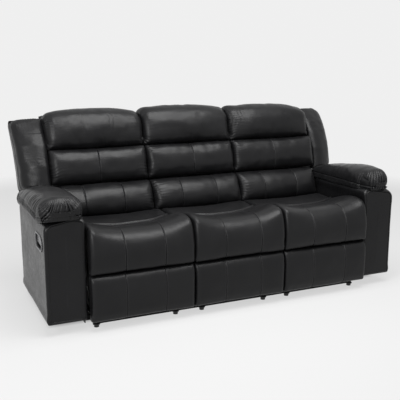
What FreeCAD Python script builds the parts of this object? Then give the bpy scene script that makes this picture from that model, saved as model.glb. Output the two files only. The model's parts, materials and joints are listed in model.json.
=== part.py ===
import FreeCAD, Part
import math
import os

# Three-seat reclining sofa. Millimetres. Origin on the floor under the middle of the sofa,
# +X to the right as seen from the front, -Y towards the sitter's feet, +Z up.
# The two outer seats recline, each with its own footrest; the middle seat is fixed.

# Overall and seat layout
seat_width = 538.0            # each outer seat
middle_width = 528.0          # the middle seat
seat_gap = 4.0                # between neighbouring seats
arm_gap = 12.0                # between an outer seat and its arm
nose_y = -458.0               # front of the seat noses and footrest pads
run_clearance = 0.3           # soft or wooden pieces that lie against each other

# Arms
arm_width = 197.0
arm_front_y = -414.0
arm_length = 661.0
arm_bottom_z = 59.0
arm_height = 513.0
arm_wall = 12.0
arm_front_round = 45.0
arm_top_round = 18.0
arm_edge_round = 8.0
arm_beam = 38.0
pad_front_y = -432.0
pad_length = 582.0
pad_height = 118.0
pad_inner_overhang = 10.0
pad_outer_overhang = 25.0
pad_side_round = 42.0
pad_end_round = 58.0
pad_bottom_round = 20.0
pad_rear_round = 12.0
pad_slope_start = 200.0         # behind the pad's front its top starts to fall
pad_rear_drop = 44.0            # the top is this much lower at the rear
pad_rear_top_round = 30.0

# Release handle in the outer face of each arm
cup_y = -277.0
cup_drop = 123.0              # middle of the cup below the top of the arm
cup_length = 152.0
cup_height = 72.0
cup_depth = 42.0
cup_wall = 3.0
cup_flange = 6.0
cup_end_flat = 2.0            # straight stretch at each end of the cup's oval
cup_ear_depth = 25.0          # the ears reach this far in from the lever's pin
cup_ear_web = 5.0
cup_ear_seat = 1.0            # the ears stop this far inside the cup's outside
lever_length = 104.0
lever_height = 44.0
lever_thickness = 6.0
lever_round = 17.0
lever_set_back = 7.0
lever_rear_gap = 4.0
lever_side_gap = 0.9          # between the lever's barrel and each ear
lever_pin_radius = 3.0
lever_barrel_radius = 6.0
lever_barrel_height = 30.0
lever_pin_reach = 9.0         # how far the pin enters each ear
pin_play = 0.08               # radial play of every pivot pin that turns in a hole

# Base frame and feet
middle_rail_inset = 77.0      # middle rails in from the sides of the middle seat
inner_rail_inset = 70.0       # rails under an outer seat in from its sides
outer_rail_inset = 41.0
foot_front_y = -365.0
foot_rear_y = 225.0
foot_radius = 13.0
foot_flange_radius = 19.0
foot_flange = 4.0
foot_height = 18.0
rail_width = 20.0
rail_height = 27.0
rail_overhang = 10.0
ear_margin = 6.0              # steel round the pivot of an ear
arm_stay_front_y = -300.0
arm_stay_rear_y = 150.0
arm_stay_width = 80.0
arm_stay_thickness = 4.0
arm_stay_height = 92.0

# Seat frame, springs and cushion
seat_frame_z = 314.0          # underside of the seat frame
seat_frame_thickness = 22.0
seat_frame_front_y = -382.0
seat_frame_rear_y = 140.0
middle_frame_rear_y = 262.0
seat_frame_inset = 8.0
seat_side_board = 96.0
seat_end_board = 60.0
apron_thickness = 14.0
crease_z = 292.0              # seam between the seat nose and the footrest pad
nose_round = 62.0
nose_bottom_round = 22.0
nose_rear_round = 4.0
nose_top_z = 498.0
seat_middle_z = 474.0
seat_middle_y = -170.0
seat_middle_round = 120.0
seat_slope_y = 60.0           # behind this the seat falls away under the back
seat_slope_round = 60.0
seat_rear_top_z = 468.0
seat_rear_drop = 36.0
seat_rear_round = 24.0
seat_rear_y = 118.0
seat_side_round = 22.0
seat_bottom_round = 8.0
spring_count = 5
spring_wire = 4.0
spring_pitch = 24.0
spring_sweep = 44.0
spring_drop = 6.0

# Footrest
pad_bottom_z = 60.0
pad_gap = 4.0                 # between the footrest pad and the seat nose
pad_face_round = 26.0
pad_side_edge_round = 18.0
board_inset = 5.0

# Back, given along its slope: u runs up the back from the hinge, n runs forward from it
back_hinge_y = 178.0
back_hinge_z = 330.0
back_lean = 15.0
frame_front_n = -59.0
frame_thickness = 27.0
frame_bottom_u = 20.0
frame_top_u = 690.0
back_side_board = 45.0
back_end_board = 60.0
back_middle_u = 290.0
lumbar_bottom_u = 100.0
lumbar_crease_u = 286.0
head_crease_u = 484.0
crest_u = 729.0
crease_n = 60.0
roll_gap = 2.5
roll_front_n = 124.0
roll_bulge = 38.0             # from a crease up to where a roll is full
roll_round = 46.0
roll_edge_round = 10.0
crease_round = 6.0
head_bulge_u = 520.0
head_full_u = 652.0
head_full_round = 90.0
head_low_round = 44.0
head_front_set_back = 2.0
head_crest_n = 45.0
head_crest_round = 60.0
head_rear_drop = 11.0
head_rear_round = 24.0
lumbar_front_n = 172.0
lumbar_foot_set_back = 32.0
lumbar_foot_rise = 3.0
lumbar_low_u = 150.0
lumbar_low_round = 44.0
lumbar_high_u = 236.0
lumbar_high_set_back = 20.0
lumbar_high_round = 54.0
head_corner_round = 55.0
roll_overhang = 9.0           # how far the upper back rolls reach over the arms
cover_thickness = 16.8
cover_round = 9.0
cover_bottom_round = 6.0
cover_bottom_u = -140.0
cover_top_u = 705.0

# Side wings on the outer backs
wing_outer_x = 1005.0
wing_front_n = 92.0
wing_edge_n = 46.0
wing_edge_round = 20.0
wing_front_bottom_u = 285.0
wing_rear_bottom_u = 268.0
wing_bottom_round = 14.0
wing_full_u = 520.0           # above this the wing narrows towards its top
wing_full_round = 60.0
wing_top_n = -14.0
wing_top_u = 690.0
wing_top_round = 30.0
wing_rear_round = 10.0
wing_corner_round = 70.0

# Recliner mechanism: flat steel links in layers beside each other
plate = 3.0
layer_gap = 1.0
pin_radius = 5.0
pivot_radius = 13.0
open_pivot_play = 1.6         # the pivots that close the swing and front links have this play
footrest_pivot_play = 3.5     # and the pivot between outer link and footrest this much
ear_layer = 6.0               # from the middle of a base rail to its ears
ear_thickness = 4.0
swing_length = 175.0
swing_travel = 55.0           # how far the seat moves forward on its swing links
swing_base_z = 75.0
rear_swing_y = 40.0
front_swing_y = -215.0
flange_width = 15.0
flange_end_gap = 10.0
tube_radius = 9.0
bracket_round = 16.0
bracket_margin = 4.0          # footrest and back brackets in from the ends of their boards
plate_margin = 16.0           # steel of a side plate round its pivots
plate_corner = 14.0
plate_seat_overlap = 8.0
cheek_rise = 24.0
cheek_drop = 40.0
cheek_round = 11.0
# Footrest linkage pivots with the footrest closed, as (y, z)
front_link_pivot = (-289.0, 277.9)
drive_pivot = (-222.6, 300.1)
front_cross_pivot = (-134.9, 141.2)
drive_cross_pivot = (-67.7, 167.5)
drive_outer_pivot = (-71.3, 128.0)
footrest_upper_pivot = (-338.0, 245.1)
footrest_lower_pivot = (-364.1, 193.2)

# Places that follow from the sizes above
middle_half = middle_width / 2
seat_inner_x = middle_half + seat_gap
seat_outer_x = seat_inner_x + seat_width
arm_inner_x = seat_outer_x + arm_gap
arm_outer_x = arm_inner_x + arm_width
arm_top_z = arm_bottom_z + arm_height
arm_rear_y = arm_front_y + arm_length
cup_z = arm_top_z - cup_drop
foot_x_middle = middle_half - middle_rail_inset
foot_x_inner = seat_inner_x + inner_rail_inset
foot_x_outer = seat_outer_x - outer_rail_inset
pad_rear_y = pad_front_y + pad_length
rail_bottom_z = foot_height
rail_top_z = rail_bottom_z + rail_height
rail_front_y = foot_front_y - rail_overhang
rail_rear_y = foot_rear_y + rail_overhang
seat_frame_top_z = seat_frame_z + seat_frame_thickness
board_rear_y = seat_frame_front_y
board_front_y = board_rear_y - apron_thickness
pad_top_z = crease_z - pad_gap
frame_rear_n = frame_front_n - frame_thickness
roll_rear_n = frame_front_n + run_clearance
swing_layer = ear_layer + ear_thickness + layer_gap
plate_layer = swing_layer + plate + 2 * layer_gap
front_link_layer = plate_layer + plate + layer_gap
cross_layer = front_link_layer + plate + layer_gap
drive_layer = cross_layer + plate + layer_gap
outer_layer = drive_layer + plate + layer_gap
front_swing_drop = swing_length - math.sqrt(swing_length ** 2 - swing_travel ** 2)
rear_seat_pivot = (rear_swing_y, swing_base_z + swing_length)
front_seat_pivot = (front_swing_y + swing_travel, swing_base_z + swing_length - front_swing_drop)
lean_sin = math.sin(math.radians(back_lean))
lean_cos = math.cos(math.radians(back_lean))


def point(x, y, z):
    return FreeCAD.Vector(x, y, z)


def box(x0, x1, y0, y1, z0, z1):
    return Part.makeBox(x1 - x0, y1 - y0, z1 - z0, point(x0, y0, z0))


def rod(centre, direction, radius, length):
    return Part.makeCylinder(radius, length, centre, direction)


def join(shapes):
    """One solid from shapes that meet."""
    return shapes[0].multiFuse(shapes[1:]).removeSplitter()


def mirrored(shape):
    return shape.mirror(point(0, 0, 0), point(1, 0, 0))


def rounded_face(corners, place):
    """Flat face through corners (a, b, radius); each corner is eased by an arc of its radius."""
    flat = [FreeCAD.Vector(a, b, 0) for a, b, radius in corners]
    edges = []
    first = None
    last = None
    for index, corner in enumerate(flat):
        radius = corners[index][2]
        before = (flat[index - 1] - corner).normalize()
        after = (flat[(index + 1) % len(flat)] - corner).normalize()
        half_angle = before.getAngle(after) / 2
        reach = radius / math.tan(half_angle)
        start = corner + before * reach
        end = corner + after * reach
        if last is not None:
            edges.append(Part.LineSegment(place(last.x, last.y), place(start.x, start.y)).toShape())
        if radius > 0:
            inward = (before + after).normalize()
            middle = corner + inward * (radius / math.sin(half_angle) - radius)
            ends = [place(spot.x, spot.y) for spot in (start, middle, end)]
            edges.append(Part.Arc(*ends).toShape())
        if first is None:
            first = start
        last = end
    edges.append(Part.LineSegment(place(last.x, last.y), place(first.x, first.y)).toShape())
    return Part.Face(Part.Wire(edges))


def side_prism(corners, x0, x1):
    """Outline (y, z, radius) seen from the side, pushed from x0 to x1."""
    face = rounded_face(corners, lambda y, z: point(x0, y, z))
    return face.extrude(point(x1 - x0, 0, 0))


def front_prism(corners, y0, y1):
    """Outline (x, z, radius) seen from the front, pushed from y0 to y1."""
    face = rounded_face(corners, lambda x, z: point(x, y0, z))
    return face.extrude(point(0, y1 - y0, 0))


def rounded_rectangle(a0, a1, b0, b1, radius):
    return [(a0, b0, radius), (a1, b0, radius), (a1, b1, radius), (a0, b1, radius)]


def back_point(x, n, u):
    """Point of the leaning back: n forward of the hinge and u up the slope."""
    return point(x, back_hinge_y + u * lean_sin - n * lean_cos, back_hinge_z + u * lean_cos + n * lean_sin)


def back_side_prism(corners, x0, x1):
    """Outline (n, u, radius) of a piece of the back, pushed from x0 to x1."""
    face = rounded_face(corners, lambda n, u: back_point(x0, n, u))
    return face.extrude(point(x1 - x0, 0, 0))


def back_front_prism(corners, n0, n1):
    """Outline (x, u, radius) on the slope of the back, pushed from n0 to n1."""
    face = rounded_face(corners, lambda x, u: back_point(x, n0, u))
    return face.extrude(back_point(0, n1, 0) - back_point(0, n0, 0))


def back_box(x0, x1, n0, n1, u0, u1):
    return back_side_prism([(n0, u0, 0), (n1, u0, 0), (n1, u1, 0), (n0, u1, 0)], x0, x1)


# Arms
def arm_cage():
    """Beams along the twelve edges inside the arm."""
    cage_y0 = arm_front_y + arm_wall
    cage_y1 = arm_rear_y - arm_wall
    cage_z0 = arm_bottom_z + arm_wall
    cage_z1 = arm_top_z - arm_wall
    cage_x0 = arm_inner_x + arm_wall
    cage_x1 = arm_outer_x - arm_wall
    cage = box(cage_x0, cage_x1, cage_y0, cage_y1, cage_z0, cage_z1)
    inner_x = (cage_x0 + arm_beam, cage_x1 - arm_beam)
    inner_y = (cage_y0 + arm_beam, cage_y1 - arm_beam)
    inner_z = (cage_z0 + arm_beam, cage_z1 - arm_beam)
    for cut in (box(cage_x0, cage_x1, *inner_y, *inner_z),
                box(*inner_x, cage_y0, cage_y1, *inner_z),
                box(*inner_x, *inner_y, cage_z0, cage_z1)):
        cage = cage.cut(cut)
    return cage


def cup_outline(grow):
    """Oval of the handle cup in the arm's outer face, grown by a margin."""
    half_length = cup_length / 2 + grow
    half_height = cup_height / 2 + grow
    return rounded_rectangle(cup_y - half_length, cup_y + half_length, cup_z - half_height,
                             cup_z + half_height, half_height - cup_end_flat / 2)


def arm_shell():
    """Upholstered arm: rounded towards the front and outside, hollow for its cage."""
    plan = side_prism([(arm_front_y, arm_bottom_z, arm_top_round), (arm_rear_y, arm_bottom_z, arm_top_round),
                       (arm_rear_y, arm_top_z, arm_top_round), (arm_front_y, arm_top_z, arm_top_round)],
                      arm_inner_x, arm_outer_x)
    front = front_prism([(arm_inner_x, arm_bottom_z, 0), (arm_outer_x, arm_bottom_z, arm_edge_round),
                         (arm_outer_x, arm_top_z, arm_front_round),
                         (arm_inner_x, arm_top_z, arm_edge_round)],
                        arm_front_y, arm_rear_y)
    shell = plan.common(front)
    hollow_side = side_prism(rounded_rectangle(arm_front_y + arm_wall, arm_rear_y - arm_wall,
                                               arm_bottom_z + arm_wall, arm_top_z - arm_wall, 0),
                             arm_inner_x + arm_wall, arm_outer_x - arm_wall)
    hole = side_prism(cup_outline(run_clearance), arm_outer_x - 2 * arm_wall, arm_outer_x + arm_wall)
    return shell.cut(hollow_side.common(arm_hollow_limit())).cut(hole)


def arm_hollow_limit():
    """Keeps the arm's hollow and cage one wall inside its rounded outline."""
    return front_prism([(arm_inner_x + arm_wall, arm_bottom_z + arm_wall, 0),
                        (arm_outer_x - arm_wall, arm_bottom_z + arm_wall, 0),
                        (arm_outer_x - arm_wall, arm_top_z - arm_wall, arm_front_round - arm_wall),
                        (arm_inner_x + arm_wall, arm_top_z - arm_wall, 0)],
                       arm_front_y, arm_rear_y)


def arm_frame():
    return arm_cage().common(arm_hollow_limit())


def arm_pad():
    """Pillow on top of the arm, rounded at its sides and ends."""
    bottom = arm_top_z + run_clearance
    top = bottom + pad_height
    inner = arm_inner_x - pad_inner_overhang
    outer = arm_outer_x + pad_outer_overhang
    across = front_prism([(inner, bottom, pad_bottom_round), (outer, bottom, pad_bottom_round),
                          (outer, top, pad_side_round), (inner, top, pad_side_round)],
                         pad_front_y, pad_rear_y)
    along = side_prism([(pad_front_y, bottom, pad_bottom_round), (pad_rear_y, bottom, pad_rear_round),
                        (pad_rear_y, top - pad_rear_drop, pad_rear_top_round),
                        (pad_front_y + pad_slope_start, top, 0), (pad_front_y, top, pad_end_round)],
                       inner, outer)
    return across.common(along)


def lever_hinge():
    """Middle of the lever's hinge pin, at the rear end of the cup."""
    return point(arm_outer_x - lever_set_back - lever_barrel_radius,
                 cup_y + cup_length / 2 - cup_wall - lever_barrel_radius - lever_rear_gap, cup_z)


def handle_cup():
    """Moulded cup let into the arm, with the two ears that hold the lever's pin."""
    outer = side_prism(cup_outline(0), arm_outer_x - cup_depth, arm_outer_x)
    flange = side_prism(cup_outline(cup_flange), arm_outer_x, arm_outer_x + cup_wall)
    hollow = side_prism(cup_outline(-cup_wall), arm_outer_x - cup_depth + cup_wall,
                        arm_outer_x + 2 * cup_wall)
    cup = join([outer, flange]).cut(hollow)
    hinge = lever_hinge()
    near = lever_barrel_height / 2 + lever_side_gap
    far = cup_height / 2 - cup_ear_seat
    limit = side_prism(cup_outline(-cup_ear_seat), arm_outer_x - cup_depth, arm_outer_x)
    ears = []
    for low, high in ((cup_z - far, cup_z - near), (cup_z + near, cup_z + far)):
        ear = box(hinge.x - cup_ear_depth, hinge.x + lever_barrel_radius, hinge.y - lever_barrel_radius,
                  hinge.y + lever_barrel_radius + cup_ear_web, low, high)
        ears.append(ear.common(limit))
    cup = join([cup] + ears)
    bore_length = lever_barrel_height + 2 * (lever_pin_reach + run_clearance)
    bore = rod(point(hinge.x, hinge.y, cup_z - bore_length / 2), point(0, 0, 1),
               lever_pin_radius + pin_play, bore_length)
    return cup.cut(bore)


def release_lever():
    """Paddle that is pulled outwards, with its hinge barrel and pin in one piece."""
    hinge = lever_hinge()
    front_y = hinge.y - lever_length
    face_x = arm_outer_x - lever_set_back
    paddle = side_prism([(front_y, cup_z - lever_height / 2, lever_round),
                         (hinge.y, cup_z - lever_barrel_height / 2, 0),
                         (hinge.y, cup_z + lever_barrel_height / 2, 0),
                         (front_y, cup_z + lever_height / 2, lever_round)],
                        face_x - lever_thickness, face_x)
    barrel = rod(point(hinge.x, hinge.y, cup_z - lever_barrel_height / 2), point(0, 0, 1),
                 lever_barrel_radius, lever_barrel_height)
    pin_length = lever_barrel_height + 2 * lever_pin_reach
    pin = rod(point(hinge.x, hinge.y, cup_z - pin_length / 2), point(0, 0, 1), lever_pin_radius, pin_length)
    return join([paddle, barrel, pin])


# Base frame and feet
def base_ear(rail_x, inward, y):
    """Upright ear on a base rail with the stub that a swing link turns on."""
    x0 = rail_x + inward * ear_layer
    x1 = x0 + inward * ear_thickness
    low, high = sorted((x0, x1))
    half = pivot_radius + ear_margin
    ear = side_prism([(y - half, rail_bottom_z, 0), (y + half, rail_bottom_z, 0),
                      (y + half, swing_base_z + half, pivot_radius),
                     (y - half, swing_base_z + half, pivot_radius)],
                     low, high)
    stub = rod(point(x1, y, swing_base_z), point(inward, 0, 0), pin_radius, plate + 1.5 * layer_gap)
    return [ear, stub]


def base_frame():
    """Welded steel base: six rails front to back on two long tubes, with the arm stays."""
    parts = []
    half_rail = rail_width / 2
    for y in (foot_front_y, foot_rear_y):
        parts.append(box(-foot_x_outer - half_rail, foot_x_outer + half_rail,
                         y - half_rail, y + half_rail, rail_bottom_z, rail_top_z))
    for side in (-1, 1):
        for rail_x in (foot_x_middle, foot_x_inner, foot_x_outer):
            x = side * rail_x
            parts.append(box(x - half_rail, x + half_rail, rail_front_y, rail_rear_y,
                             rail_bottom_z, rail_top_z))
        for rail_x, inward in ((foot_x_inner, 1), (foot_x_outer, -1)):
            for y in (rear_swing_y, front_swing_y):
                parts.extend(base_ear(side * rail_x, side * inward, y))
        for y in (arm_stay_front_y, arm_stay_rear_y):
            stay = sorted((side * (arm_inner_x - arm_stay_thickness), side * arm_inner_x))
            arm_tube = sorted((side * foot_x_outer, side * (arm_inner_x - arm_stay_thickness)))
            parts.append(box(*stay, y - arm_stay_width / 2, y + arm_stay_width / 2,
                             rail_bottom_z, rail_bottom_z + arm_stay_height))
            parts.append(box(*arm_tube, y - half_rail, y + half_rail, rail_bottom_z, rail_top_z))
        for y in (rail_front_y + half_rail, middle_frame_rear_y - seat_end_board):
            x = side * foot_x_middle
            parts.append(box(x - half_rail, x + half_rail, y - half_rail, y + half_rail,
                             rail_bottom_z, seat_frame_z))
    return join(parts)


def feet():
    """Twelve short pucks, each with a flange under its rail."""
    pucks = []
    for side in (-1, 1):
        for rail_x in (foot_x_middle, foot_x_inner, foot_x_outer):
            for y in (foot_front_y, foot_rear_y):
                puck = rod(point(side * rail_x, y, 0), point(0, 0, 1), foot_radius, foot_height)
                flange = rod(point(side * rail_x, y, foot_height - foot_flange), point(0, 0, 1),
                             foot_flange_radius, foot_flange)
                pucks.append(join([puck, flange]))
    return Part.makeCompound(pucks)


# Seats
def seat_frame(x0, x1, rear_y):
    """Board frame of a seat with the apron board that closes its front."""
    left = x0 + seat_frame_inset
    right = x1 - seat_frame_inset
    ring = box(left, right, seat_frame_front_y, rear_y, seat_frame_z, seat_frame_top_z)
    opening = box(left + seat_side_board, right - seat_side_board,
                  seat_frame_front_y + seat_end_board, seat_frame_rear_y - seat_end_board,
                  seat_frame_z, seat_frame_top_z)
    apron = box(left, right, board_front_y, seat_frame_front_y, crease_z, seat_frame_top_z)
    return join([ring.cut(opening), apron])


def seat_springs(x0, x1):
    """Sinuous springs from the front board to the rear board, each a flat zigzag of wire."""
    left = x0 + seat_frame_inset + seat_side_board
    right = x1 - seat_frame_inset - seat_side_board
    front = seat_frame_front_y + seat_end_board
    rear = seat_frame_rear_y - seat_end_board
    z1 = seat_frame_top_z - spring_drop
    z0 = z1 - spring_wire
    bends = int((rear - front) // spring_pitch)
    pitch = (rear - front) / bends
    springs = []
    for index in range(spring_count):
        centre = left + (right - left) * (index + 0.5) / spring_count
        bars = []
        for bend in range(bends):
            y = front + bend * pitch
            side = 1 if bend % 2 else -1
            x = centre + side * spring_sweep / 2
            bars.append(box(x - spring_wire / 2, x + spring_wire / 2, y, y + pitch, z0, z1))
            if bend:
                bars.append(box(centre - spring_sweep / 2, centre + spring_sweep / 2,
                                y - spring_wire / 2, y + spring_wire / 2, z0, z1))
        springs.append(join(bars))
    return Part.makeCompound(springs)


def seat_cushion(x0, x1):
    """Seat cushion with its rounded nose hanging in front of the apron board."""
    bottom = seat_frame_top_z + run_clearance
    apron_face = board_front_y - run_clearance
    side = side_prism([(apron_face, crease_z, nose_rear_round), (nose_y, crease_z, nose_bottom_round),
                       (nose_y, nose_top_z, nose_round), (seat_middle_y, seat_middle_z, seat_middle_round),
                       (seat_slope_y, seat_rear_top_z, seat_slope_round),
                       (seat_rear_y, seat_rear_top_z - seat_rear_drop, seat_rear_round),
                       (seat_rear_y, bottom, 0), (apron_face, bottom, 0)], x0, x1)
    front = front_prism([(x0, crease_z, seat_bottom_round), (x1, crease_z, seat_bottom_round),
                         (x1, nose_top_z, seat_side_round), (x0, nose_top_z, seat_side_round)],
                        nose_y, seat_rear_y)
    return side.common(front)


# Footrests
def footrest_board(x0, x1, top_z):
    return box(x0 + board_inset, x1 - board_inset, board_front_y, board_rear_y,
               pad_bottom_z + board_inset, top_z)


def footrest_pad(x0, x1):
    """Padded front panel, rounded on its face."""
    rear = board_front_y - run_clearance
    side = side_prism([(rear, pad_bottom_z, 0), (nose_y, pad_bottom_z, pad_face_round),
                       (nose_y, pad_top_z, pad_face_round), (rear, pad_top_z, 0)], x0, x1)
    plan = rounded_face([(x0, rear, 0), (x0, nose_y, pad_side_edge_round), (x1, nose_y, pad_side_edge_round),
                         (x1, rear, 0)], lambda x, y: point(x, y, pad_bottom_z))
    return side.common(plan.extrude(point(0, 0, pad_top_z - pad_bottom_z)))


# Backs
def back_frame(x0, x1):
    """Board frame of a back: two side boards with bottom, middle and top boards."""
    left = x0 + seat_frame_inset
    right = x1 - seat_frame_inset
    panel = back_box(left, right, frame_rear_n, frame_front_n, frame_bottom_u, frame_top_u)
    inner = (left + back_side_board, right - back_side_board)
    for low, high in ((frame_bottom_u + back_end_board, back_middle_u),
                      (back_middle_u + back_end_board, frame_top_u - back_end_board)):
        panel = panel.cut(back_box(*inner, frame_rear_n, frame_front_n, low, high))
    return panel


def fixed_back_frame(x0, x1):
    """Back frame of the middle seat, cut off square where it stands on the seat frame."""
    frame = back_frame(x0, x1)
    return frame.cut(box(x0, x1, back_hinge_y, middle_frame_rear_y + frame_thickness * 2,
                         0, seat_frame_top_z))


def rear_cover(x0, x1):
    """Upholstered outside back, a little proud and eased all round."""
    front_n = frame_rear_n - run_clearance
    rear_n = front_n - cover_thickness
    side = back_side_prism([(front_n, cover_bottom_u, 0), (front_n, cover_top_u, 0),
                            (rear_n, cover_top_u, cover_round), (rear_n, cover_bottom_u, cover_round)],
                           x0, x1)
    outline = back_front_prism([(x0, cover_bottom_u, cover_bottom_round),
                                (x1, cover_bottom_u, cover_bottom_round),
                                (x1, cover_top_u, head_corner_round), (x0, cover_top_u, head_corner_round)],
                               front_n, rear_n)
    return side.common(outline)


def outer_rear_cover(x0, x1):
    """Outside back of an outer seat, stepped in below the wing so that it clears the arm."""
    step = back_box(seat_outer_x, x1 + run_clearance, frame_rear_n - 2 * cover_thickness, frame_rear_n,
                    cover_bottom_u - run_clearance, wing_rear_bottom_u)
    return rear_cover(x0, x1).cut(step)


def head_roll(x0, x1):
    side = back_side_prism([(roll_rear_n, head_crease_u + roll_gap / 2, 0),
                            (crease_n, head_crease_u + roll_gap / 2, crease_round),
                            (roll_front_n - head_front_set_back, head_bulge_u, head_low_round),
                            (roll_front_n - 3 * head_front_set_back, head_full_u, head_full_round),
                            (head_crest_n, crest_u, head_crest_round),
                            (frame_rear_n, crest_u - head_rear_drop, head_rear_round),
                            (frame_rear_n, frame_top_u + run_clearance, 0),
                            (roll_rear_n, frame_top_u + run_clearance, 0)], x0, x1)
    outline = back_front_prism([(x0, head_crease_u, roll_edge_round), (x1, head_crease_u, roll_edge_round),
                                (x1, crest_u, head_corner_round), (x0, crest_u, head_corner_round)],
                               frame_rear_n, roll_front_n)
    return side.common(outline)


def middle_roll(x0, x1):
    low = lumbar_crease_u + roll_gap / 2
    high = head_crease_u - roll_gap / 2
    side = back_side_prism([(roll_rear_n, low, 0), (crease_n, low, crease_round),
                            (roll_front_n, low + roll_bulge, roll_round),
                            (roll_front_n, high - roll_bulge, roll_round),
                            (crease_n, high, crease_round), (roll_rear_n, high, 0)], x0, x1)
    outline = rounded_rectangle(x0, x1, low, high, roll_edge_round)
    return side.common(back_front_prism(outline, roll_rear_n, roll_front_n))


def lumbar_roll(x0, x1):
    high = lumbar_crease_u - roll_gap / 2
    side = back_side_prism([(roll_rear_n, lumbar_bottom_u, 0),
                            (lumbar_front_n - lumbar_foot_set_back, lumbar_bottom_u + lumbar_foot_rise,
                             roll_edge_round),
                            (lumbar_front_n, lumbar_low_u, lumbar_low_round),
                            (lumbar_front_n - lumbar_high_set_back, lumbar_high_u, lumbar_high_round),
                            (crease_n, high, crease_round), (roll_rear_n, high, 0)], x0, x1)
    outline = rounded_rectangle(x0, x1, lumbar_bottom_u, high, roll_edge_round)
    return side.common(back_front_prism(outline, roll_rear_n, lumbar_front_n))


def wing(x0):
    """Padded side wing beside an outer back, thick at the back rolls and thinner outside."""
    side = back_side_prism([(frame_rear_n, wing_rear_bottom_u, wing_rear_round),
                            (wing_front_n, wing_front_bottom_u, wing_bottom_round),
                            (wing_front_n, wing_full_u, wing_full_round),
                            (wing_top_n, wing_top_u, wing_top_round),
                            (frame_rear_n, wing_top_u, wing_rear_round)], x0, wing_outer_x)
    outline = back_front_prism([(x0, wing_rear_bottom_u, 0),
                                (wing_outer_x, wing_rear_bottom_u, roll_edge_round),
                                (wing_outer_x, wing_top_u, wing_corner_round), (x0, wing_top_u, 0)],
                               frame_rear_n, wing_front_n)
    plan = rounded_face([(x0, frame_rear_n, 0), (wing_outer_x, frame_rear_n, 0),
                         (wing_outer_x, wing_edge_n, wing_edge_round), (x0, wing_front_n, 0)],
                        lambda x, n: back_point(x, n, wing_rear_bottom_u))
    reach = back_point(0, 0, wing_top_u) - back_point(0, 0, wing_rear_bottom_u)
    return side.common(outline).common(plan.extrude(reach))


# Recliner mechanism, each function gives the pieces at both ends of one seat
def ends():
    """The two base rails of the right outer seat and the way inwards from each."""
    return ((foot_x_inner, 1), (foot_x_outer, -1))


def layer(rail_x, inward, start, thickness):
    """Lowest and highest x of a layer of the mechanism."""
    return sorted((rail_x + inward * start, rail_x + inward * (start + thickness)))


def bar(a, b, x0, x1):
    """Flat link between two pivots (y, z) with round ends."""
    length = math.hypot(b[0] - a[0], b[1] - a[1])
    along = FreeCAD.Vector(b[0] - a[0], b[1] - a[1], 0) * (1 / length)
    across = FreeCAD.Vector(-along.y, along.x, 0) * pivot_radius
    start = FreeCAD.Vector(a[0], a[1], 0)
    end = FreeCAD.Vector(b[0], b[1], 0)
    spots = [start + across, start - along * pivot_radius, start - across,
             end - across, end + along * pivot_radius, end + across]
    spots = [point(x0, spot.x, spot.y) for spot in spots]
    edges = [Part.Arc(spots[0], spots[1], spots[2]).toShape(),
             Part.LineSegment(spots[2], spots[3]).toShape(),
             Part.Arc(spots[3], spots[4], spots[5]).toShape(),
             Part.LineSegment(spots[5], spots[0]).toShape()]
    return Part.Face(Part.Wire(edges)).extrude(point(x1 - x0, 0, 0))


def pin(pivot, x0, x1):
    return rod(point(x0, pivot[0], pivot[1]), point(1, 0, 0), pin_radius, x1 - x0)


def hole(pivot, x0, x1, play):
    return rod(point(x0 - plate, pivot[0], pivot[1]), point(1, 0, 0), pin_radius + play, x1 - x0 + 2 * plate)


def reach_pin(pivot, rail_x, inward, start, stop):
    """Pin from one layer depth to another."""
    return pin(pivot, *sorted((rail_x + inward * start, rail_x + inward * stop)))


def pin_end(layer_start):
    """Depth at which a pin through the layer ends, just short of the next layer."""
    return layer_start + plate + layer_gap / 2


def side_plates():
    """Plate under each side board of the seat, with its flange and pivot pins."""
    plates = []
    hinge = (back_hinge_y, back_hinge_z)
    for rail_x, inward in ends():
        x0, x1 = layer(rail_x, inward, plate_layer, plate)
        front = front_link_pivot[0] - plate_margin
        body = side_prism([(front, front_link_pivot[1] - plate_corner, plate_corner / 2),
                           (front, seat_frame_z, plate),
                           (seat_frame_rear_y + plate_seat_overlap, seat_frame_z, plate_seat_overlap),
                           (hinge[0] - bracket_round, hinge[1] + bracket_round, plate_corner / 2),
                           (hinge[0] + bracket_round, hinge[1] + bracket_round, plate_corner),
                           (hinge[0] + bracket_round, hinge[1] - bracket_round, plate_corner),
                           (rear_seat_pivot[0] + plate_margin, rear_seat_pivot[1] - plate_margin,
                            plate_corner),
                           (front_seat_pivot[0] - plate_margin, front_seat_pivot[1] - plate_margin,
                            plate_corner)], x0, x1)
        flange = layer(rail_x, inward, plate_layer - flange_width, flange_width)
        top = box(*flange, front_link_pivot[0], seat_frame_rear_y - flange_end_gap,
                  seat_frame_z - plate, seat_frame_z)
        pieces = [body, top,
                  reach_pin(hinge, rail_x, inward, plate_layer, pin_end(front_link_layer)),
                  reach_pin(front_link_pivot, rail_x, inward, plate_layer, pin_end(front_link_layer)),
                  reach_pin(drive_pivot, rail_x, inward, plate_layer, pin_end(drive_layer))]
        for pivot in (rear_seat_pivot, front_seat_pivot):
            pieces.append(reach_pin(pivot, rail_x, inward, swing_layer - layer_gap / 2, plate_layer + plate))
        plates.append(join(pieces))
    return Part.makeCompound(plates)


def swing_links(base_y, seat_pivot, seat_play):
    """Upright links that carry the seat on the base."""
    links = []
    base_pivot = (base_y, swing_base_z)
    for rail_x, inward in ends():
        x0, x1 = layer(rail_x, inward, swing_layer, plate)
        link = bar(base_pivot, seat_pivot, x0, x1)
        links.append(link.cut(hole(base_pivot, x0, x1, pin_play)).cut(hole(seat_pivot, x0, x1, seat_play)))
    return Part.makeCompound(links)


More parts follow.
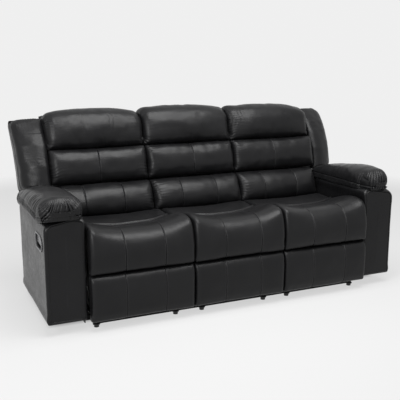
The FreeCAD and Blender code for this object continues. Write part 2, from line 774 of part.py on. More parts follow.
def front_links():
    links = []
    for rail_x, inward in ends():
        x0, x1 = layer(rail_x, inward, front_link_layer, plate)
        link = bar(front_link_pivot, front_cross_pivot, x0, x1)
        link = link.cut(hole(front_link_pivot, x0, x1, pin_play))
        links.append(link.cut(hole(front_cross_pivot, x0, x1, open_pivot_play)))
    return Part.makeCompound(links)


def drive_link():
    """Torque tube across the seat with a welded link at each end."""
    parts = []
    inner_x = foot_x_inner + drive_layer
    outer_x = foot_x_outer - drive_layer
    for rail_x, inward in ends():
        x0, x1 = layer(rail_x, inward, drive_layer, plate)
        parts += [bar(drive_pivot, drive_cross_pivot, x0, x1),
                  bar(drive_cross_pivot, drive_outer_pivot, x0, x1),
                  reach_pin(drive_cross_pivot, rail_x, inward, cross_layer - layer_gap / 2,
                            drive_layer + plate),
                  reach_pin(drive_outer_pivot, rail_x, inward, drive_layer, pin_end(outer_layer))]
    parts.append(rod(point(inner_x, *drive_pivot), point(1, 0, 0), tube_radius, outer_x - inner_x))
    link = join(parts)
    for rail_x, inward in ends():
        x0, x1 = layer(rail_x, inward, drive_layer, plate)
        link = link.cut(hole(drive_pivot, x0, x1, pin_play))
    return link


def cross_links():
    """Three-pivot links that push the footrest out."""
    links = []
    for rail_x, inward in ends():
        x0, x1 = layer(rail_x, inward, cross_layer, plate)
        link = join([bar(front_cross_pivot, drive_cross_pivot, x0, x1),
                     bar(drive_cross_pivot, footrest_upper_pivot, x0, x1),
                     reach_pin(front_cross_pivot, rail_x, inward, front_link_layer - layer_gap / 2,
                               cross_layer + plate),
                     reach_pin(footrest_upper_pivot, rail_x, inward, cross_layer, pin_end(drive_layer))])
        links.append(link.cut(hole(drive_cross_pivot, x0, x1, pin_play)))
    return Part.makeCompound(links)


def outer_links():
    """Long links that turn the footrest flat as it rises."""
    links = []
    for rail_x, inward in ends():
        x0, x1 = layer(rail_x, inward, outer_layer, plate)
        link = bar(drive_outer_pivot, footrest_lower_pivot, x0, x1)
        link = link.cut(hole(drive_outer_pivot, x0, x1, pin_play))
        links.append(link.cut(hole(footrest_lower_pivot, x0, x1, footrest_pivot_play)))
    return Part.makeCompound(links)


def footrest_brackets():
    """Brackets on the back of the footrest board that the links hold."""
    brackets = []
    upper = footrest_upper_pivot
    lower = footrest_lower_pivot
    for rail_x, inward in ends():
        x0, x1 = layer(rail_x, inward, drive_layer, plate)
        cheek = side_prism([(board_rear_y, lower[1] - cheek_drop, 0),
                            (board_rear_y, upper[1] + cheek_rise, 0),
                            (upper[0] - cheek_round, upper[1] + pivot_radius, cheek_round),
                            (upper[0] + pivot_radius, upper[1] + bracket_margin, cheek_round),
                            (lower[0] + pivot_radius, lower[1] - cheek_round, cheek_round)], x0, x1)
        flange = layer(rail_x, inward, drive_layer, flange_width + plate)
        foot = box(*flange, board_rear_y, board_rear_y + plate, lower[1] - cheek_drop + bracket_margin,
                   upper[1] + cheek_rise - bracket_margin)
        stub = reach_pin(lower, rail_x, inward, drive_layer, pin_end(outer_layer))
        bracket = join([cheek, foot, stub])
        brackets.append(bracket.cut(hole(upper, x0, x1, pin_play)))
    return Part.makeCompound(brackets)


def back_brackets():
    """Hinge brackets between the seat's side plates and the bottom board of the back frame."""
    brackets = []
    low = frame_bottom_u + bracket_margin
    high = frame_bottom_u + back_end_board - bracket_margin
    for rail_x, inward in ends():
        x0, x1 = layer(rail_x, inward, front_link_layer, plate)
        cheek = back_side_prism([(bracket_round, -bracket_round, bracket_round - layer_gap),
                                 (bracket_round, bracket_round, bracket_round - layer_gap),
                                 (frame_front_n, high, 0), (frame_front_n, low, 0),
                                 (-bracket_round, -bracket_round, bracket_round - layer_gap)], x0, x1)
        flange = layer(rail_x, inward, front_link_layer, flange_width + plate)
        foot = back_box(*flange, frame_front_n, frame_front_n + plate, low, high)
        bracket = join([cheek, foot])
        brackets.append(bracket.cut(hole((back_hinge_y, back_hinge_z), x0, x1, pin_play)))
    return Part.makeCompound(brackets)


def middle_seat():
    """The fixed seat between the two recliners."""
    x0 = -middle_half
    x1 = middle_half
    return {
        "middle_seat_frame": seat_frame(x0, x1, middle_frame_rear_y),
        "middle_seat_springs": seat_springs(x0, x1),
        "middle_seat_cushion": seat_cushion(x0, x1),
        "middle_front_board": footrest_board(x0, x1, crease_z),
        "middle_front_pad": footrest_pad(x0, x1),
        "middle_back_frame": fixed_back_frame(x0, x1),
        "middle_rear_cover": rear_cover(x0, x1),
        "middle_head_roll": head_roll(x0, x1),
        "middle_middle_roll": middle_roll(x0, x1),
        "middle_lumbar_roll": lumbar_roll(x0, x1),
    }


def outer_seat():
    """The right outer seat with its mechanism, arm skin, pad and lever; the left one mirrors it."""
    x0 = seat_inner_x
    x1 = seat_outer_x
    roll_outer_x = arm_inner_x + roll_overhang
    return {
        "arm_shell": arm_shell(),
        "arm_pad": arm_pad(),
        "release_lever": release_lever(),
        "seat_frame": seat_frame(x0, x1, seat_frame_rear_y),
        "seat_springs": seat_springs(x0, x1),
        "seat_cushion": seat_cushion(x0, x1),
        "side_plates": side_plates(),
        "rear_swing_links": swing_links(rear_swing_y, rear_seat_pivot, pin_play),
        "front_swing_links": swing_links(front_swing_y, front_seat_pivot, open_pivot_play),
        "front_links": front_links(),
        "drive_link": drive_link(),
        "cross_links": cross_links(),
        "outer_links": outer_links(),
        "footrest_board": footrest_board(x0, x1, pad_top_z - board_inset),
        "footrest_pad": footrest_pad(x0, x1),
        "footrest_brackets": footrest_brackets(),
        "back_frame": back_frame(x0, x1),
        "back_brackets": back_brackets(),
        "rear_cover": outer_rear_cover(x0, roll_outer_x),
        "head_roll": head_roll(x0, roll_outer_x),
        "middle_roll": middle_roll(x0, roll_outer_x),
        "lumbar_roll": lumbar_roll(x0, x1),
        "wing": wing(roll_outer_x + run_clearance),
    }


def build():
    frame = arm_frame()
    cup = handle_cup()
    nodes = {
        "base_frame": base_frame(),
        "feet": feet(),
        "arm_frames": Part.makeCompound([mirrored(frame), frame]),
        "handle_cups": Part.makeCompound([mirrored(cup), cup]),
    }
    nodes.update(middle_seat())
    for name, shape in outer_seat().items():
        nodes["right_" + name] = shape
        nodes["left_" + name] = mirrored(shape)
    return nodes


os.makedirs("parts", exist_ok=True)
for name, shape in build().items():
    shape.exportStep("parts/" + name + ".step")
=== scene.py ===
import json
import math

import bpy
import numpy as np
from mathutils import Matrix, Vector


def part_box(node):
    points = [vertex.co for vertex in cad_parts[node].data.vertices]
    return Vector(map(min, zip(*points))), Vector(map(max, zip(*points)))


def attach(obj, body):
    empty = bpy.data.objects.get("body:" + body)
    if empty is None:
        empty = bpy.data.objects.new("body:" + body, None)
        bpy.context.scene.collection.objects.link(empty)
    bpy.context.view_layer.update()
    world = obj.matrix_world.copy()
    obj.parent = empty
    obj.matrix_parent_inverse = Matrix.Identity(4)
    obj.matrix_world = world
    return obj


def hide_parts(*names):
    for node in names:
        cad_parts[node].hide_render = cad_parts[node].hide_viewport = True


# The look of a three-seat reclining sofa in black leather. Metres, floor at z = 0, front at -Y.
# Every padded piece is a grid whose rows go round its section and whose columns run from end to end.
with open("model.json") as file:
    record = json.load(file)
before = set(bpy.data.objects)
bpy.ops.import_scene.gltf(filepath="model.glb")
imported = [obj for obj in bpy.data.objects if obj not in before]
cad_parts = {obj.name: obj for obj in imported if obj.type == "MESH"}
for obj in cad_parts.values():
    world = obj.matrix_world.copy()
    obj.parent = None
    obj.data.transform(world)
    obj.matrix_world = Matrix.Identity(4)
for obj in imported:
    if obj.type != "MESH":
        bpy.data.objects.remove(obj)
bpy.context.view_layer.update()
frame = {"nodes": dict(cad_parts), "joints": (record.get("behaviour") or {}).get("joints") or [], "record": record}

mm = 0.001
grid_spacing = 9 * mm           # before the grid is doubled
sides = (("left", -1), ("right", 1))
seats = ("left", "middle", "right")

# Camera at the photograph's place: it looks down a little and from the left
camera_place = (-1.5993, -3.4997, 1.3451)
camera_pitch = 12.253
camera_turn = 24.106
camera_focal_pixels = 680.26
picture_pixels = 400
sensor_width = 36.0

# Back
back_lean = math.radians(15)
hinge_y, hinge_z = next(j["pos_m"][1:] for j in frame["joints"] if j["name"] == "right_recline")

# Seams
seat_seams = (-104 * mm, 104 * mm)      # vertical seams of seats and footrests, from their middle line
lumbar_seam_offset = 110 * mm
seat_seam_y = -206 * mm         # cross seam on the seat, in the middle and at its ends
seat_seam_end_y = -96 * mm
stitch_offset = 4 * mm          # the two rows of stitches lie this far from a seam


# Curves and noise
def travelled(points):
    """Distance of each point from the first one, along the line."""
    return np.concatenate([[0], np.cumsum(np.linalg.norm(np.diff(points, axis=0), axis=1))])


def hermite(points, count):
    """Dense smooth curve through points."""
    gap = np.linalg.norm(np.diff(points, axis=0), axis=1)[:, None]
    slope = np.diff(points, axis=0) / gap
    inner = (slope[1:] * gap[:-1] + slope[:-1] * gap[1:]) / (gap[1:] + gap[:-1])
    tangent = np.vstack([slope[:1], inner, slope[-1:]])
    t = np.linspace(0, 1, count, endpoint=False)[:, None]
    runs = []
    for i in range(len(gap)):
        runs.append((2 * t ** 3 - 3 * t ** 2 + 1) * points[i] + (t ** 3 - 2 * t ** 2 + t) * gap[i] * tangent[i]
                    + (3 * t ** 2 - 2 * t ** 3) * points[i + 1] + (t ** 3 - t ** 2) * gap[i] * tangent[i + 1])
    return np.vstack(runs + [points[-1:]])


def even(points, spacing):
    """The same line with evenly spaced points."""
    distance = travelled(points)
    places = np.linspace(0, distance[-1], max(2, round(distance[-1] / spacing) + 1))
    return np.stack([np.interp(places, distance, points[:, i]) for i in range(points.shape[1])], axis=1)


def section(padded, straight, spacing=grid_spacing, hidden_spacing=22 * mm, fine=None):
    """Closed section in millimetres: a smooth padded run, then straight runs back to its start."""
    padded = np.array(padded, float) * mm
    soft = even(hermite(padded, 24), spacing)
    if fine:
        close = even(hermite(padded, 24), spacing / 2)
        keep = fine(close)
        keep[::2] = True
        keep[-1] = True
        soft = close[keep]
    corners = np.vstack([padded[-1:], np.array(straight, float).reshape(-1, 2) * mm, padded[:1]])
    hard = [even(corners[i:i + 2], hidden_spacing)[1:] for i in range(len(corners) - 1)]
    hard = np.vstack(hard)[:-1]
    return np.vstack([soft, hard]), len(soft)


def outward_normals(points):
    """Unit normals of a closed section."""
    tangent = np.roll(points, -1, 0) - np.roll(points, 1, 0)
    normal = np.stack([tangent[:, 1], -tangent[:, 0]], 1)
    normal /= np.linalg.norm(normal, axis=1)[:, None]
    return -normal if np.sum(normal * (points - points.mean(0))) < 0 else normal


def noise(a, b, size, seed):
    """Smooth noise from -1 to 1 over a plane, with features of about the given size."""
    cells = 61
    lattice = np.random.default_rng(seed).uniform(-1, 1, (cells, cells))
    a, b = np.broadcast_arrays(a / size + 20.3, b / size + 20.7)
    i, j = np.floor(a).astype(int), np.floor(b).astype(int)
    u, v = a - i, b - j
    u, v = u * u * (3 - 2 * u), v * v * (3 - 2 * v)
    at = lambda p, q: lattice[p % cells, q % cells]
    return ((at(i, j) * (1 - u) + at(i + 1, j) * u) * (1 - v)
            + (at(i, j + 1) * (1 - u) + at(i + 1, j + 1) * u) * v)


def folds(phase):
    """Soft folds with narrow valleys: -1 in a valley, 0 on a crest."""
    return -(1 - np.abs(np.sin(np.pi * phase))) ** 1.5


def step(value, start, end):
    """0 before start, 1 after end, smooth between."""
    t = np.clip((value - start) / (end - start), 0, 1)
    return t * t * (3 - 2 * t)


def uneven(a, b, seed, *waves):
    """Unevenness of the padding: waves of noise, each with its height and size in millimetres."""
    return sum(height * noise(a, b, size * mm, seed + k) for k, (height, size) in enumerate(waves)) * mm


def wandering_folds(travel, pitch, wander, a, b, size, seed):
    """Folds across a way of travel, led astray by noise over a and b. Pitch and size are in millimetres."""
    return folds(travel / (pitch * mm) + wander * noise(a, b, size * mm, seed))


def patches(a, b, size, seed, start, end, least=0.0):
    """1 in patches of the given size in millimetres, and the least value between them."""
    return least + (1 - least) * step(noise(a, b, size * mm, seed), start, end)


def near(distance, reach):
    """1 at a line or an edge, fading out over the given reach in millimetres."""
    return np.exp(-distance / (reach * mm))


# Padded skins
class Skin:
    """A closed grid of points. Rows wrap round the section, columns run between the closed ends."""

    def __init__(self, points, along, around, cover, padded_rows):
        self.points = points            # rows x columns x 3
        self.along = along              # rows x columns, place on the long axis
        self.around = around            # rows, distance round the section from the first point
        self.cover = cover              # columns, 1 on the visible skin and 0 inside the closed ends
        self.padded_rows = padded_rows

    def normals(self):
        points = self.points
        normal = np.cross(np.roll(points, -1, 0) - np.roll(points, 1, 0), np.gradient(points, axis=1))
        normal /= np.maximum(np.linalg.norm(normal, axis=2), 1e-12)[..., None]
        outward = np.sum(normal * (points - points.mean((0, 1))))
        return normal * (1 if outward > 0 else -1)

    def finer(self):
        """Doubles rows and columns with a cubic fit."""
        self.points = finer_columns(finer_rows(self.points))
        self.along = finer_columns(finer_rows(self.along))
        gap = np.diff(np.append(self.around, 2 * self.around[-1] - self.around[-2]))
        self.around = np.stack([self.around, self.around + gap / 2], 1).ravel()
        self.cover = finer_columns(self.cover[None])[0].clip(0, 1)
        self.padded_rows = 2 * self.padded_rows - 1

    def raised(self, height):
        """Moves each point out along its normal."""
        self.points = self.points + self.normals() * (height * self.cover)[..., None]

    def measures(self):
        """Place along, distance round, distances to the nearest end and hidden edge, and what is in view."""
        around = self.around[:, None] + 0 * self.along
        front = self.around[self.padded_rows - 1]
        to_end = np.minimum(self.along - self.along.min(), self.along.max() - self.along)
        return self.along, around, to_end, np.minimum(around, np.maximum(front - around, 0)), around < front

    def mirrored(self):
        """The same skin on the left side."""
        return Skin(self.points * (-1, 1, 1), self.along, self.around, self.cover, self.padded_rows)

    def trace(self, rows, columns):
        """Points and normals at fractional rows and columns."""
        normal = self.normals()
        i, j = np.floor(rows).astype(int), np.floor(columns).astype(int)
        u, v = (rows - i)[:, None], (columns - j)[:, None]
        count, width = self.points.shape[:2]
        j2 = np.minimum(j + 1, width - 1)
        found = []
        for grid in (self.points, normal):
            low = grid[i % count, j] * (1 - v) + grid[i % count, j2] * v
            high = grid[(i + 1) % count, j] * (1 - v) + grid[(i + 1) % count, j2] * v
            found.append(low * (1 - u) + high * u)
        return found


def finer_rows(grid):
    middle = (9 * (grid + np.roll(grid, -1, 0)) - np.roll(grid, 1, 0) - np.roll(grid, -2, 0)) / 16
    return np.stack([grid, middle], 1).reshape(-1, *grid.shape[1:])


def finer_columns(grid):
    before = 2 * grid[:, :1] - grid[:, 1:2]
    after = 2 * grid[:, -1:] - grid[:, -2:-1]
    wide = np.concatenate([before, grid, after], 1)
    middle = (9 * (wide[:, 1:-2] + wide[:, 2:-1]) - wide[:, :-3] - wide[:, 3:]) / 16
    fine = np.empty((grid.shape[0], 2 * grid.shape[1] - 1, *grid.shape[2:]))
    fine[:, ::2] = grid
    fine[:, 1::2] = middle
    return fine


def loft(outline, low, high, rounding, core, place, bend=None, spacing=grid_spacing, bulge=0.0, closed=7,
         seams=(), high_share=1.0):
    """Skin round the outline from low to high. Its ends are rounded off and closed towards the core.
    The rounding at the high end is the given share of the one at the low end, and seams get extra columns."""
    points, padded_rows = outline
    normal = outward_normals(points)
    radius = np.broadcast_to(rounding(points, normal), len(points)).astype(float)
    for _ in range(3):
        radius = (np.roll(radius, 1) + 2 * radius + np.roll(radius, -1)) / 4
    low, high = np.broadcast_to(low, len(points)), np.broadcast_to(high, len(points))
    core = np.broadcast_to(np.array(core(points) if callable(core) else core), points.shape)
    turns = np.linspace(0, math.pi / 2, max(4, round(1.6 * radius.max() / spacing) + 1))[1:]
    shares = 1 - (np.arange(1, closed + 1) / (closed + 0.3))

    def rounded_end(edge, inward, radius):
        """Columns from the full section to the closed end: place, inset and share of the section."""
        rounds = [(edge + inward * radius * (1 - math.sin(turn)), radius * (1 - math.cos(turn)), 1.0)
                  for turn in turns]
        return rounds + [(edge - inward * bulge * (1 - share), radius, share) for share in shares]

    low_start, high_start = low + radius, high - radius * high_share
    first = low_start.max() + 2 * spacing
    last = high_start.min() - 2 * spacing
    inner = np.linspace(first, last, max(3, round((last - first) / spacing)) + 1)
    for seam in seams:
        inner = inner[np.abs(inner - seam) > 0.75 * spacing]
        inner = np.concatenate([inner, seam + np.array([-4.6, -1.7, 0, 1.7, 4.6]) * mm])
    straight = [low_start, low_start / 2 + first / 2, *np.sort(inner), high_start / 2 + last / 2, high_start]
    columns = (rounded_end(low, 1, radius)[::-1] + [(x + 0 * low, radius * 0, 1.0) for x in straight]
               + rounded_end(high, -1, radius * high_share))
    along, inset = (np.stack([column[k] for column in columns], 1) for k in (0, 1))
    share = np.array([column[2] for column in columns])
    flat = points[:, None] - normal[:, None] * inset[..., None]
    flat = core[:, None] + (flat - core[:, None]) * share[None, :, None]
    if bend:
        flat = bend(flat, along)
    return Skin(place(along, flat[..., 0], flat[..., 1]), along, travelled(points), step(share, 0.55, 0.95),
                padded_rows)


def level_place(x, y, z):
    return np.stack(np.broadcast_arrays(x, y, z), -1)


def arm_place(y, x, z):
    return level_place(x, y, z)


def back_place(x, n, u):
    """Place on the leaning back: n forward of the hinge and u up the slope."""
    return level_place(x, hinge_y + u * math.sin(back_lean) - n * math.cos(back_lean),
                       hinge_z + u * math.cos(back_lean) + n * math.sin(back_lean))


def wing_place(u, x, n):
    return back_place(x, n, u)


# Meshes
def grid_faces(rows, columns):
    """Quads of a wrapped grid with a polygon at each end."""
    i, j = np.meshgrid(np.arange(rows), np.arange(columns - 1), indexing="ij")
    after = (i + 1) % rows
    quads = np.stack([i * columns + j, after * columns + j, after * columns + j + 1, i * columns + j + 1], -1)
    caps = [[r * columns for r in range(rows)][::-1],
            [r * columns + columns - 1 for r in range(rows)]]
    return quads.reshape(-1, 4).tolist() + caps


def skin_mesh(name, points):
    mesh = simple_mesh(name, points.reshape(-1, 3).tolist(), grid_faces(*points.shape[:2]))
    a, b = points[:, :-1], np.roll(points, -1, 0)[:, :-1]
    c, d = np.roll(points, -1, 0)[:, 1:], points[:, 1:]
    if np.sum(a * np.cross(b, c)) + np.sum(a * np.cross(c, d)) < 0:
        mesh.flip_normals()
        mesh.update()
    return mesh


def add_object(name, mesh, material):
    piece = bpy.data.objects.new(name, mesh)
    bpy.context.scene.collection.objects.link(piece)
    if material:
        mesh.materials.append(material)
    return piece


def simple_mesh(name, points, faces, smooth=True):
    mesh = bpy.data.meshes.new(name)
    mesh.from_pydata([tuple(p) for p in points], [], faces)
    mesh.polygons.foreach_set("use_smooth", [smooth] * len(mesh.polygons))
    mesh.update()
    return mesh


cloth_settings = {
    "vertex_group_mass": "held", "use_pressure": True, "uniform_pressure_force": 4.0,
    "quality": 5, "mass": 0.3,
    "tension_stiffness": 25, "compression_stiffness": 25, "shear_stiffness": 12, "bending_stiffness": 1.5,
    "shrink_min": -0.035}
cloth_frames = 20
largest_swell = 24 * mm


def inflate(skins, shares):
    """Blows up the skins as loose leather pinned along their hidden rows, and keeps a share of the result."""
    scene = bpy.context.scene
    bodies = []
    for index, skin in enumerate(skins):
        body = add_object("cloth" + str(index), skin_mesh("cloth", skin.points), None)
        held = np.ones(skin.points.shape[:2], bool)
        held[2:skin.padded_rows - 2] = False
        held[:, skin.cover < 0.5] = True
        group = body.vertex_groups.new(name="held")
        group.add(np.flatnonzero(held.ravel()).tolist(), 1.0, "REPLACE")
        cloth = body.modifiers.new("cloth", "CLOTH")
        for key, value in cloth_settings.items():
            setattr(cloth.settings, key, value)
        cloth.settings.effector_weights.gravity = 0.0
        cloth.collision_settings.use_collision = False
        cloth.point_cache.frame_end = cloth_frames
        bodies.append(body)
    for number in range(1, cloth_frames + 1):
        scene.frame_set(number)
    graph = bpy.context.evaluated_depsgraph_get()
    for body, skin, share in zip(bodies, skins, shares):
        shape = body.evaluated_get(graph).to_mesh()
        moved = np.empty(len(shape.vertices) * 3)
        shape.vertices.foreach_get("co", moved)
        travel = moved.reshape(skin.points.shape) - skin.points
        length = np.linalg.norm(travel, axis=2)[..., None]
        travel *= share * np.minimum(1, largest_swell / np.maximum(length, 1e-9))
        for _ in range(3):
            travel = (np.roll(travel, 1, 0) + 2 * travel + np.roll(travel, -1, 0)) / 4
            travel[:, 1:-1] = (travel[:, :-2] + 2 * travel[:, 1:-1] + travel[:, 2:]) / 4
        skin.points = skin.points + travel
    for body in bodies:
        mesh = body.data
        bpy.data.objects.remove(body)
        bpy.data.meshes.remove(mesh)
    scene.frame_set(1)


# Surface detail
def seam_height(distance, depth=2.6 * mm, width=2.6 * mm, swell=2.5 * mm, reach=28 * mm, lip=0.8 * mm):
    """Groove of a sewn seam: a thin lip on both sides, and the padding swelling up beside them."""
    distance = np.abs(distance)
    edge = lip * np.exp(-((distance - 2.1 * width) / (1.1 * width)) ** 2)
    return edge - depth * np.exp(-(distance / width) ** 2) - swell * np.exp(-distance / reach)


def puckers(distance, travel, seed, size=15, depth=1.3, reach=14):
    """Small folds that run into a seam at right angles. Size, depth and reach are in millimetres."""
    distance = np.abs(distance)
    lines = wandering_folds(travel, size, 0.8, travel, distance, 45, seed)
    strength = patches(travel, 0 * travel, 70, seed + 1, -0.3, 0.5, 0.35)
    return depth * mm * near(distance, reach) * lines * strength


def stitch_rows(name, lines, pitch=7.5 * mm, length=5.2 * mm, radius=0.55 * mm, lift=0.15 * mm):
    """One mesh of short thread stitches along lines of points with normals."""
    rings = ((0.0, 0.35), (0.18, 1.0), (0.82, 1.0), (1.0, 0.35))   # place along a stitch and its thickness
    around = 6
    points, faces = [], []
    for path, normal in lines:
        distance = travelled(path)
        at = lambda line, t: np.array([np.interp(t, distance, line[:, k]) for k in range(3)])
        for start in np.arange(pitch, distance[-1] - pitch, pitch):
            first, last = at(path, start), at(path, start + length)
            up = at(normal, start)
            up /= np.linalg.norm(up)
            ahead = (last - first) / max(np.linalg.norm(last - first), 1e-9)
            side = np.cross(ahead, up)
            base = len(points)
            for part, size in rings:
                centre = first * (1 - part) + last * part + up * (lift if size == 1.0 else -0.6 * radius)
                for k in range(around):
                    angle = 2 * math.pi * k / around
                    points.append(centre + (side * math.cos(angle) + up * math.sin(angle)) * radius * size)
            faces += tube_faces(base, len(rings), around)
    return simple_mesh(name, points, faces)


def tube_faces(base, rings, around, closed=False):
    """Quads between rings of points, and a polygon at each end of an open tube."""
    faces = []
    for i in range(rings if closed else rings - 1):
        a, b = base + i * around, base + (i + 1) % rings * around
        faces += [(a + k, a + (k + 1) % around, b + (k + 1) % around, b + k) for k in range(around)]
    if not closed:
        faces.append(tuple(base + k for k in range(around))[::-1])
        faces.append(tuple(base + (rings - 1) * around + k for k in range(around)))
    return faces


def tube_mesh(name, path, radius, closed=False, around=8):
    """Round welt along a path of points."""
    path = np.array(path)
    ahead = np.roll(path, -1, 0) - np.roll(path, 1, 0) if closed else np.gradient(path, axis=0)
    ahead /= np.linalg.norm(ahead, axis=1)[:, None]
    up = np.array([0.31, 0.17, 0.93])
    points = []
    for spot, forward in zip(path, ahead):
        side = np.cross(forward, up)
        side /= np.linalg.norm(side)
        up = np.cross(side, forward)
        for k in range(around):
            angle = 2 * math.pi * k / around
            points.append(spot + (side * math.cos(angle) + up * math.sin(angle)) * radius)
    return simple_mesh(name, points, tube_faces(0, len(path), around, closed))


# Materials
def new_material(name):
    """A material, its node tree and the object's own coordinates."""
    material = bpy.data.materials.new(name)
    material.use_nodes = True
    tree = material.node_tree
    return material, tree, tree.nodes.new("ShaderNodeTexCoord").outputs["Object"]


def finish(tree, sockets):
    """Links outputs to the named sockets of the shader, and sets plain values on them."""
    for name, value in sockets.items():
        socket = tree.nodes["Principled BSDF"].inputs[name]
        if isinstance(value, bpy.types.NodeSocket):
            tree.links.new(value, socket)
        else:
            socket.default_value = value


def noise_texture(tree, place, scale, detail, **settings):
    node = tree.nodes.new("ShaderNodeTexNoise")
    for key, value in {"Scale": scale, "Detail": detail, **settings}.items():
        node.inputs[key].default_value = value
    tree.links.new(place, node.inputs["Vector"])
    return node.outputs["Fac"]


def combined(tree, operation, *values, kind="ShaderNodeMath", output="Value"):
    """Result of a mathematical operation on outputs."""
    node = tree.nodes.new(kind)
    node.operation = operation
    for value, socket in zip(values, node.inputs):
        tree.links.new(value, socket)
    return node.outputs[output]


def ramp(tree, value, low, high, out_low, out_high):
    node = tree.nodes.new("ShaderNodeMapRange")
    settings = {"From Min": low, "From Max": high, "To Min": out_low, "To Max": out_high}
    for key, setting in settings.items():
        node.inputs[key].default_value = setting
    tree.links.new(value, node.inputs["Value"])
    return node.outputs["Result"]


def bump(tree, height, strength, distance, under=None):
    node = tree.nodes.new("ShaderNodeBump")
    node.inputs["Strength"].default_value = strength
    node.inputs["Distance"].default_value = distance
    tree.links.new(height, node.inputs["Height"])
    if under:
        tree.links.new(under, node.inputs["Normal"])
    return node.outputs["Normal"]


def mixed_colour(tree, share, first, second):
    """Mix of two colours. The first may be an output."""
    node = tree.nodes.new("ShaderNodeMix")
    node.data_type = "RGBA"
    if isinstance(first, tuple):
        node.inputs["A"].default_value = (*first, 1)
    else:
        tree.links.new(first, node.inputs["A"])
    node.inputs["B"].default_value = (*second, 1)
    tree.links.new(share, node.inputs["Factor"])
    return node.outputs["Result"]


def leather(name, dark, worn, rough_low, rough_high, grain_size=1.5 * mm):
    """Smooth black leather: fine pebbled grain, faint creases and a polish that varies."""
    material, tree, place = new_material(name)
    cells = tree.nodes.new("ShaderNodeTexVoronoi")
    cells.feature = "SMOOTH_F1"
    cells.inputs["Scale"].default_value = 1 / grain_size
    tree.links.new(place, cells.inputs["Vector"])
    creases = noise_texture(tree, place, 42.0, 5.0, Roughness=0.62, Distortion=0.9)
    clouds = noise_texture(tree, place, 7.0, 3.0)
    edges = tree.nodes.new("ShaderNodeNewGeometry").outputs["Pointiness"]
    shade = mixed_colour(tree, ramp(tree, clouds, 0.35, 0.7, 0.0, 1.0), dark, worn)
    grain = bump(tree, cells.outputs["Distance"], 0.22, 0.35 * mm)
    finish(tree, {
        "Base Color": mixed_colour(tree, ramp(tree, edges, 0.50, 0.56, 0.0, 1.0), shade,
                                   [c * 1.5 for c in worn]),
        "Roughness": combined(tree, "ADD", ramp(tree, clouds, 0.3, 0.7, rough_low, rough_high),
                              ramp(tree, creases, 0.35, 0.65, -0.04, 0.05)),
        "Normal": bump(tree, creases, 0.30, 1.6 * mm, grain),
        "Specular IOR Level": 0.22, "Sheen Weight": 0.01, "Sheen Roughness": 0.45})
    return material


def thread():
    material, tree, place = new_material("sewing_thread")
    twist = noise_texture(tree, place, 1400.0, 2.0)
    finish(tree, {"Base Color": mixed_colour(tree, twist, (0.010, 0.010, 0.011), (0.030, 0.030, 0.032)),
                  "Normal": bump(tree, twist, 0.5, 0.2 * mm), "Roughness": 0.55})
    return material


def steel(name, colour, roughness, metallic, specular):
    """Painted or bare steel with faint orange-peel and scuffs."""
    material, tree, place = new_material(name)
    peel = noise_texture(tree, place, 260.0, 3.0)
    scuffs = noise_texture(tree, place, 24.0, 6.0, Roughness=0.7)
    lighter = [c * 1.7 + 0.01 for c in colour]
    finish(tree, {
        "Base Color": mixed_colour(tree, ramp(tree, scuffs, 0.52, 0.72, 0.0, 1.0), colour, lighter),
        "Roughness": ramp(tree, scuffs, 0.3, 0.7, roughness - 0.08, roughness + 0.1),
        "Normal": bump(tree, peel, 0.15, 0.3 * mm), "Metallic": metallic, "Specular IOR Level": specular})
    return material


def plastic(name, colour, roughness, rim=None):
    """Moulded plastic with a fine spark-eroded texture. Outside a given |x| the rims get a painted highlight: a
    light grey base colour that makes them look lit.
    """
    material, tree, place = new_material(name)
    spark = noise_texture(tree, place, 900.0, 2.0)
    hands = noise_texture(tree, place, 30.0, 4.0)
    shade = mixed_colour(tree, hands, colour, [c * 1.5 for c in colour])
    if rim:
        across = tree.nodes.new("ShaderNodeSeparateXYZ")
        tree.links.new(place, across.inputs["Vector"])
        # painted highlight: rims beyond the given |x| are coloured light grey to look lit
        rim_highlight = ramp(tree, combined(tree, "ABSOLUTE", across.outputs["X"]), rim - 4 * mm, rim, 0.0, 1.0)
        shade = mixed_colour(tree, rim_highlight, shade, (0.16, 0.16, 0.165))
    finish(tree, {"Base Color": shade, "Normal": bump(tree, spark, 0.25, 0.15 * mm),
                  "Roughness": ramp(tree, hands, 0.3, 0.7, roughness - 0.05, roughness + 0.08)})
    return material


def plywood():
    """Dark board with long grain and darker streaks. Its dark tone stands in for the black cloth over real frames,
    and is painted shade where the board shows in gaps.
    """
    material, tree, place = new_material("frame_board")
    stretch = tree.nodes.new("ShaderNodeMapping")
    stretch.inputs["Scale"].default_value = (1.0, 9.0, 9.0)
    tree.links.new(place, stretch.inputs["Vector"])
    grain = noise_texture(tree, stretch.outputs["Vector"], 9.0, 7.0, Roughness=0.65)
    streak = ramp(tree, grain, 0.35, 0.68, 0.0, 1.0)
    # dark tone: painted shade in the gaps where the frames show
    finish(tree, {"Base Color": mixed_colour(tree, streak, (0.042, 0.034, 0.027), (0.022, 0.017, 0.013)),
                  "Normal": bump(tree, grain, 0.25, 0.6 * mm), "Roughness": 0.7})
    return material


def woven():
    """Black non-woven dust cloth. Its near-black colour is also painted shade in the see-through gaps behind the
    seats.
    """
    material, tree, place = new_material("dust_cloth_gap_shade")
    fibres = noise_texture(tree, place, 700.0, 4.0)
    # near black: real dust cloth colour, and painted shade where the sheet fills gaps
    finish(tree, {"Base Color": mixed_colour(tree, fibres, (0.006, 0.006, 0.006), (0.014, 0.014, 0.014)),
                  "Normal": bump(tree, fibres, 0.4, 0.3 * mm), "Roughness": 0.9})
    return material


cushion_leather = leather("cushion_leather", (0.0045, 0.0045, 0.0050), (0.0065, 0.0065, 0.0070), 0.33, 0.42)
panel_leather = leather("panel_leather", (0.0045, 0.0045, 0.0050), (0.0060, 0.0060, 0.0065),
                        0.28, 0.35, 2.2 * mm)
seam_thread = thread()


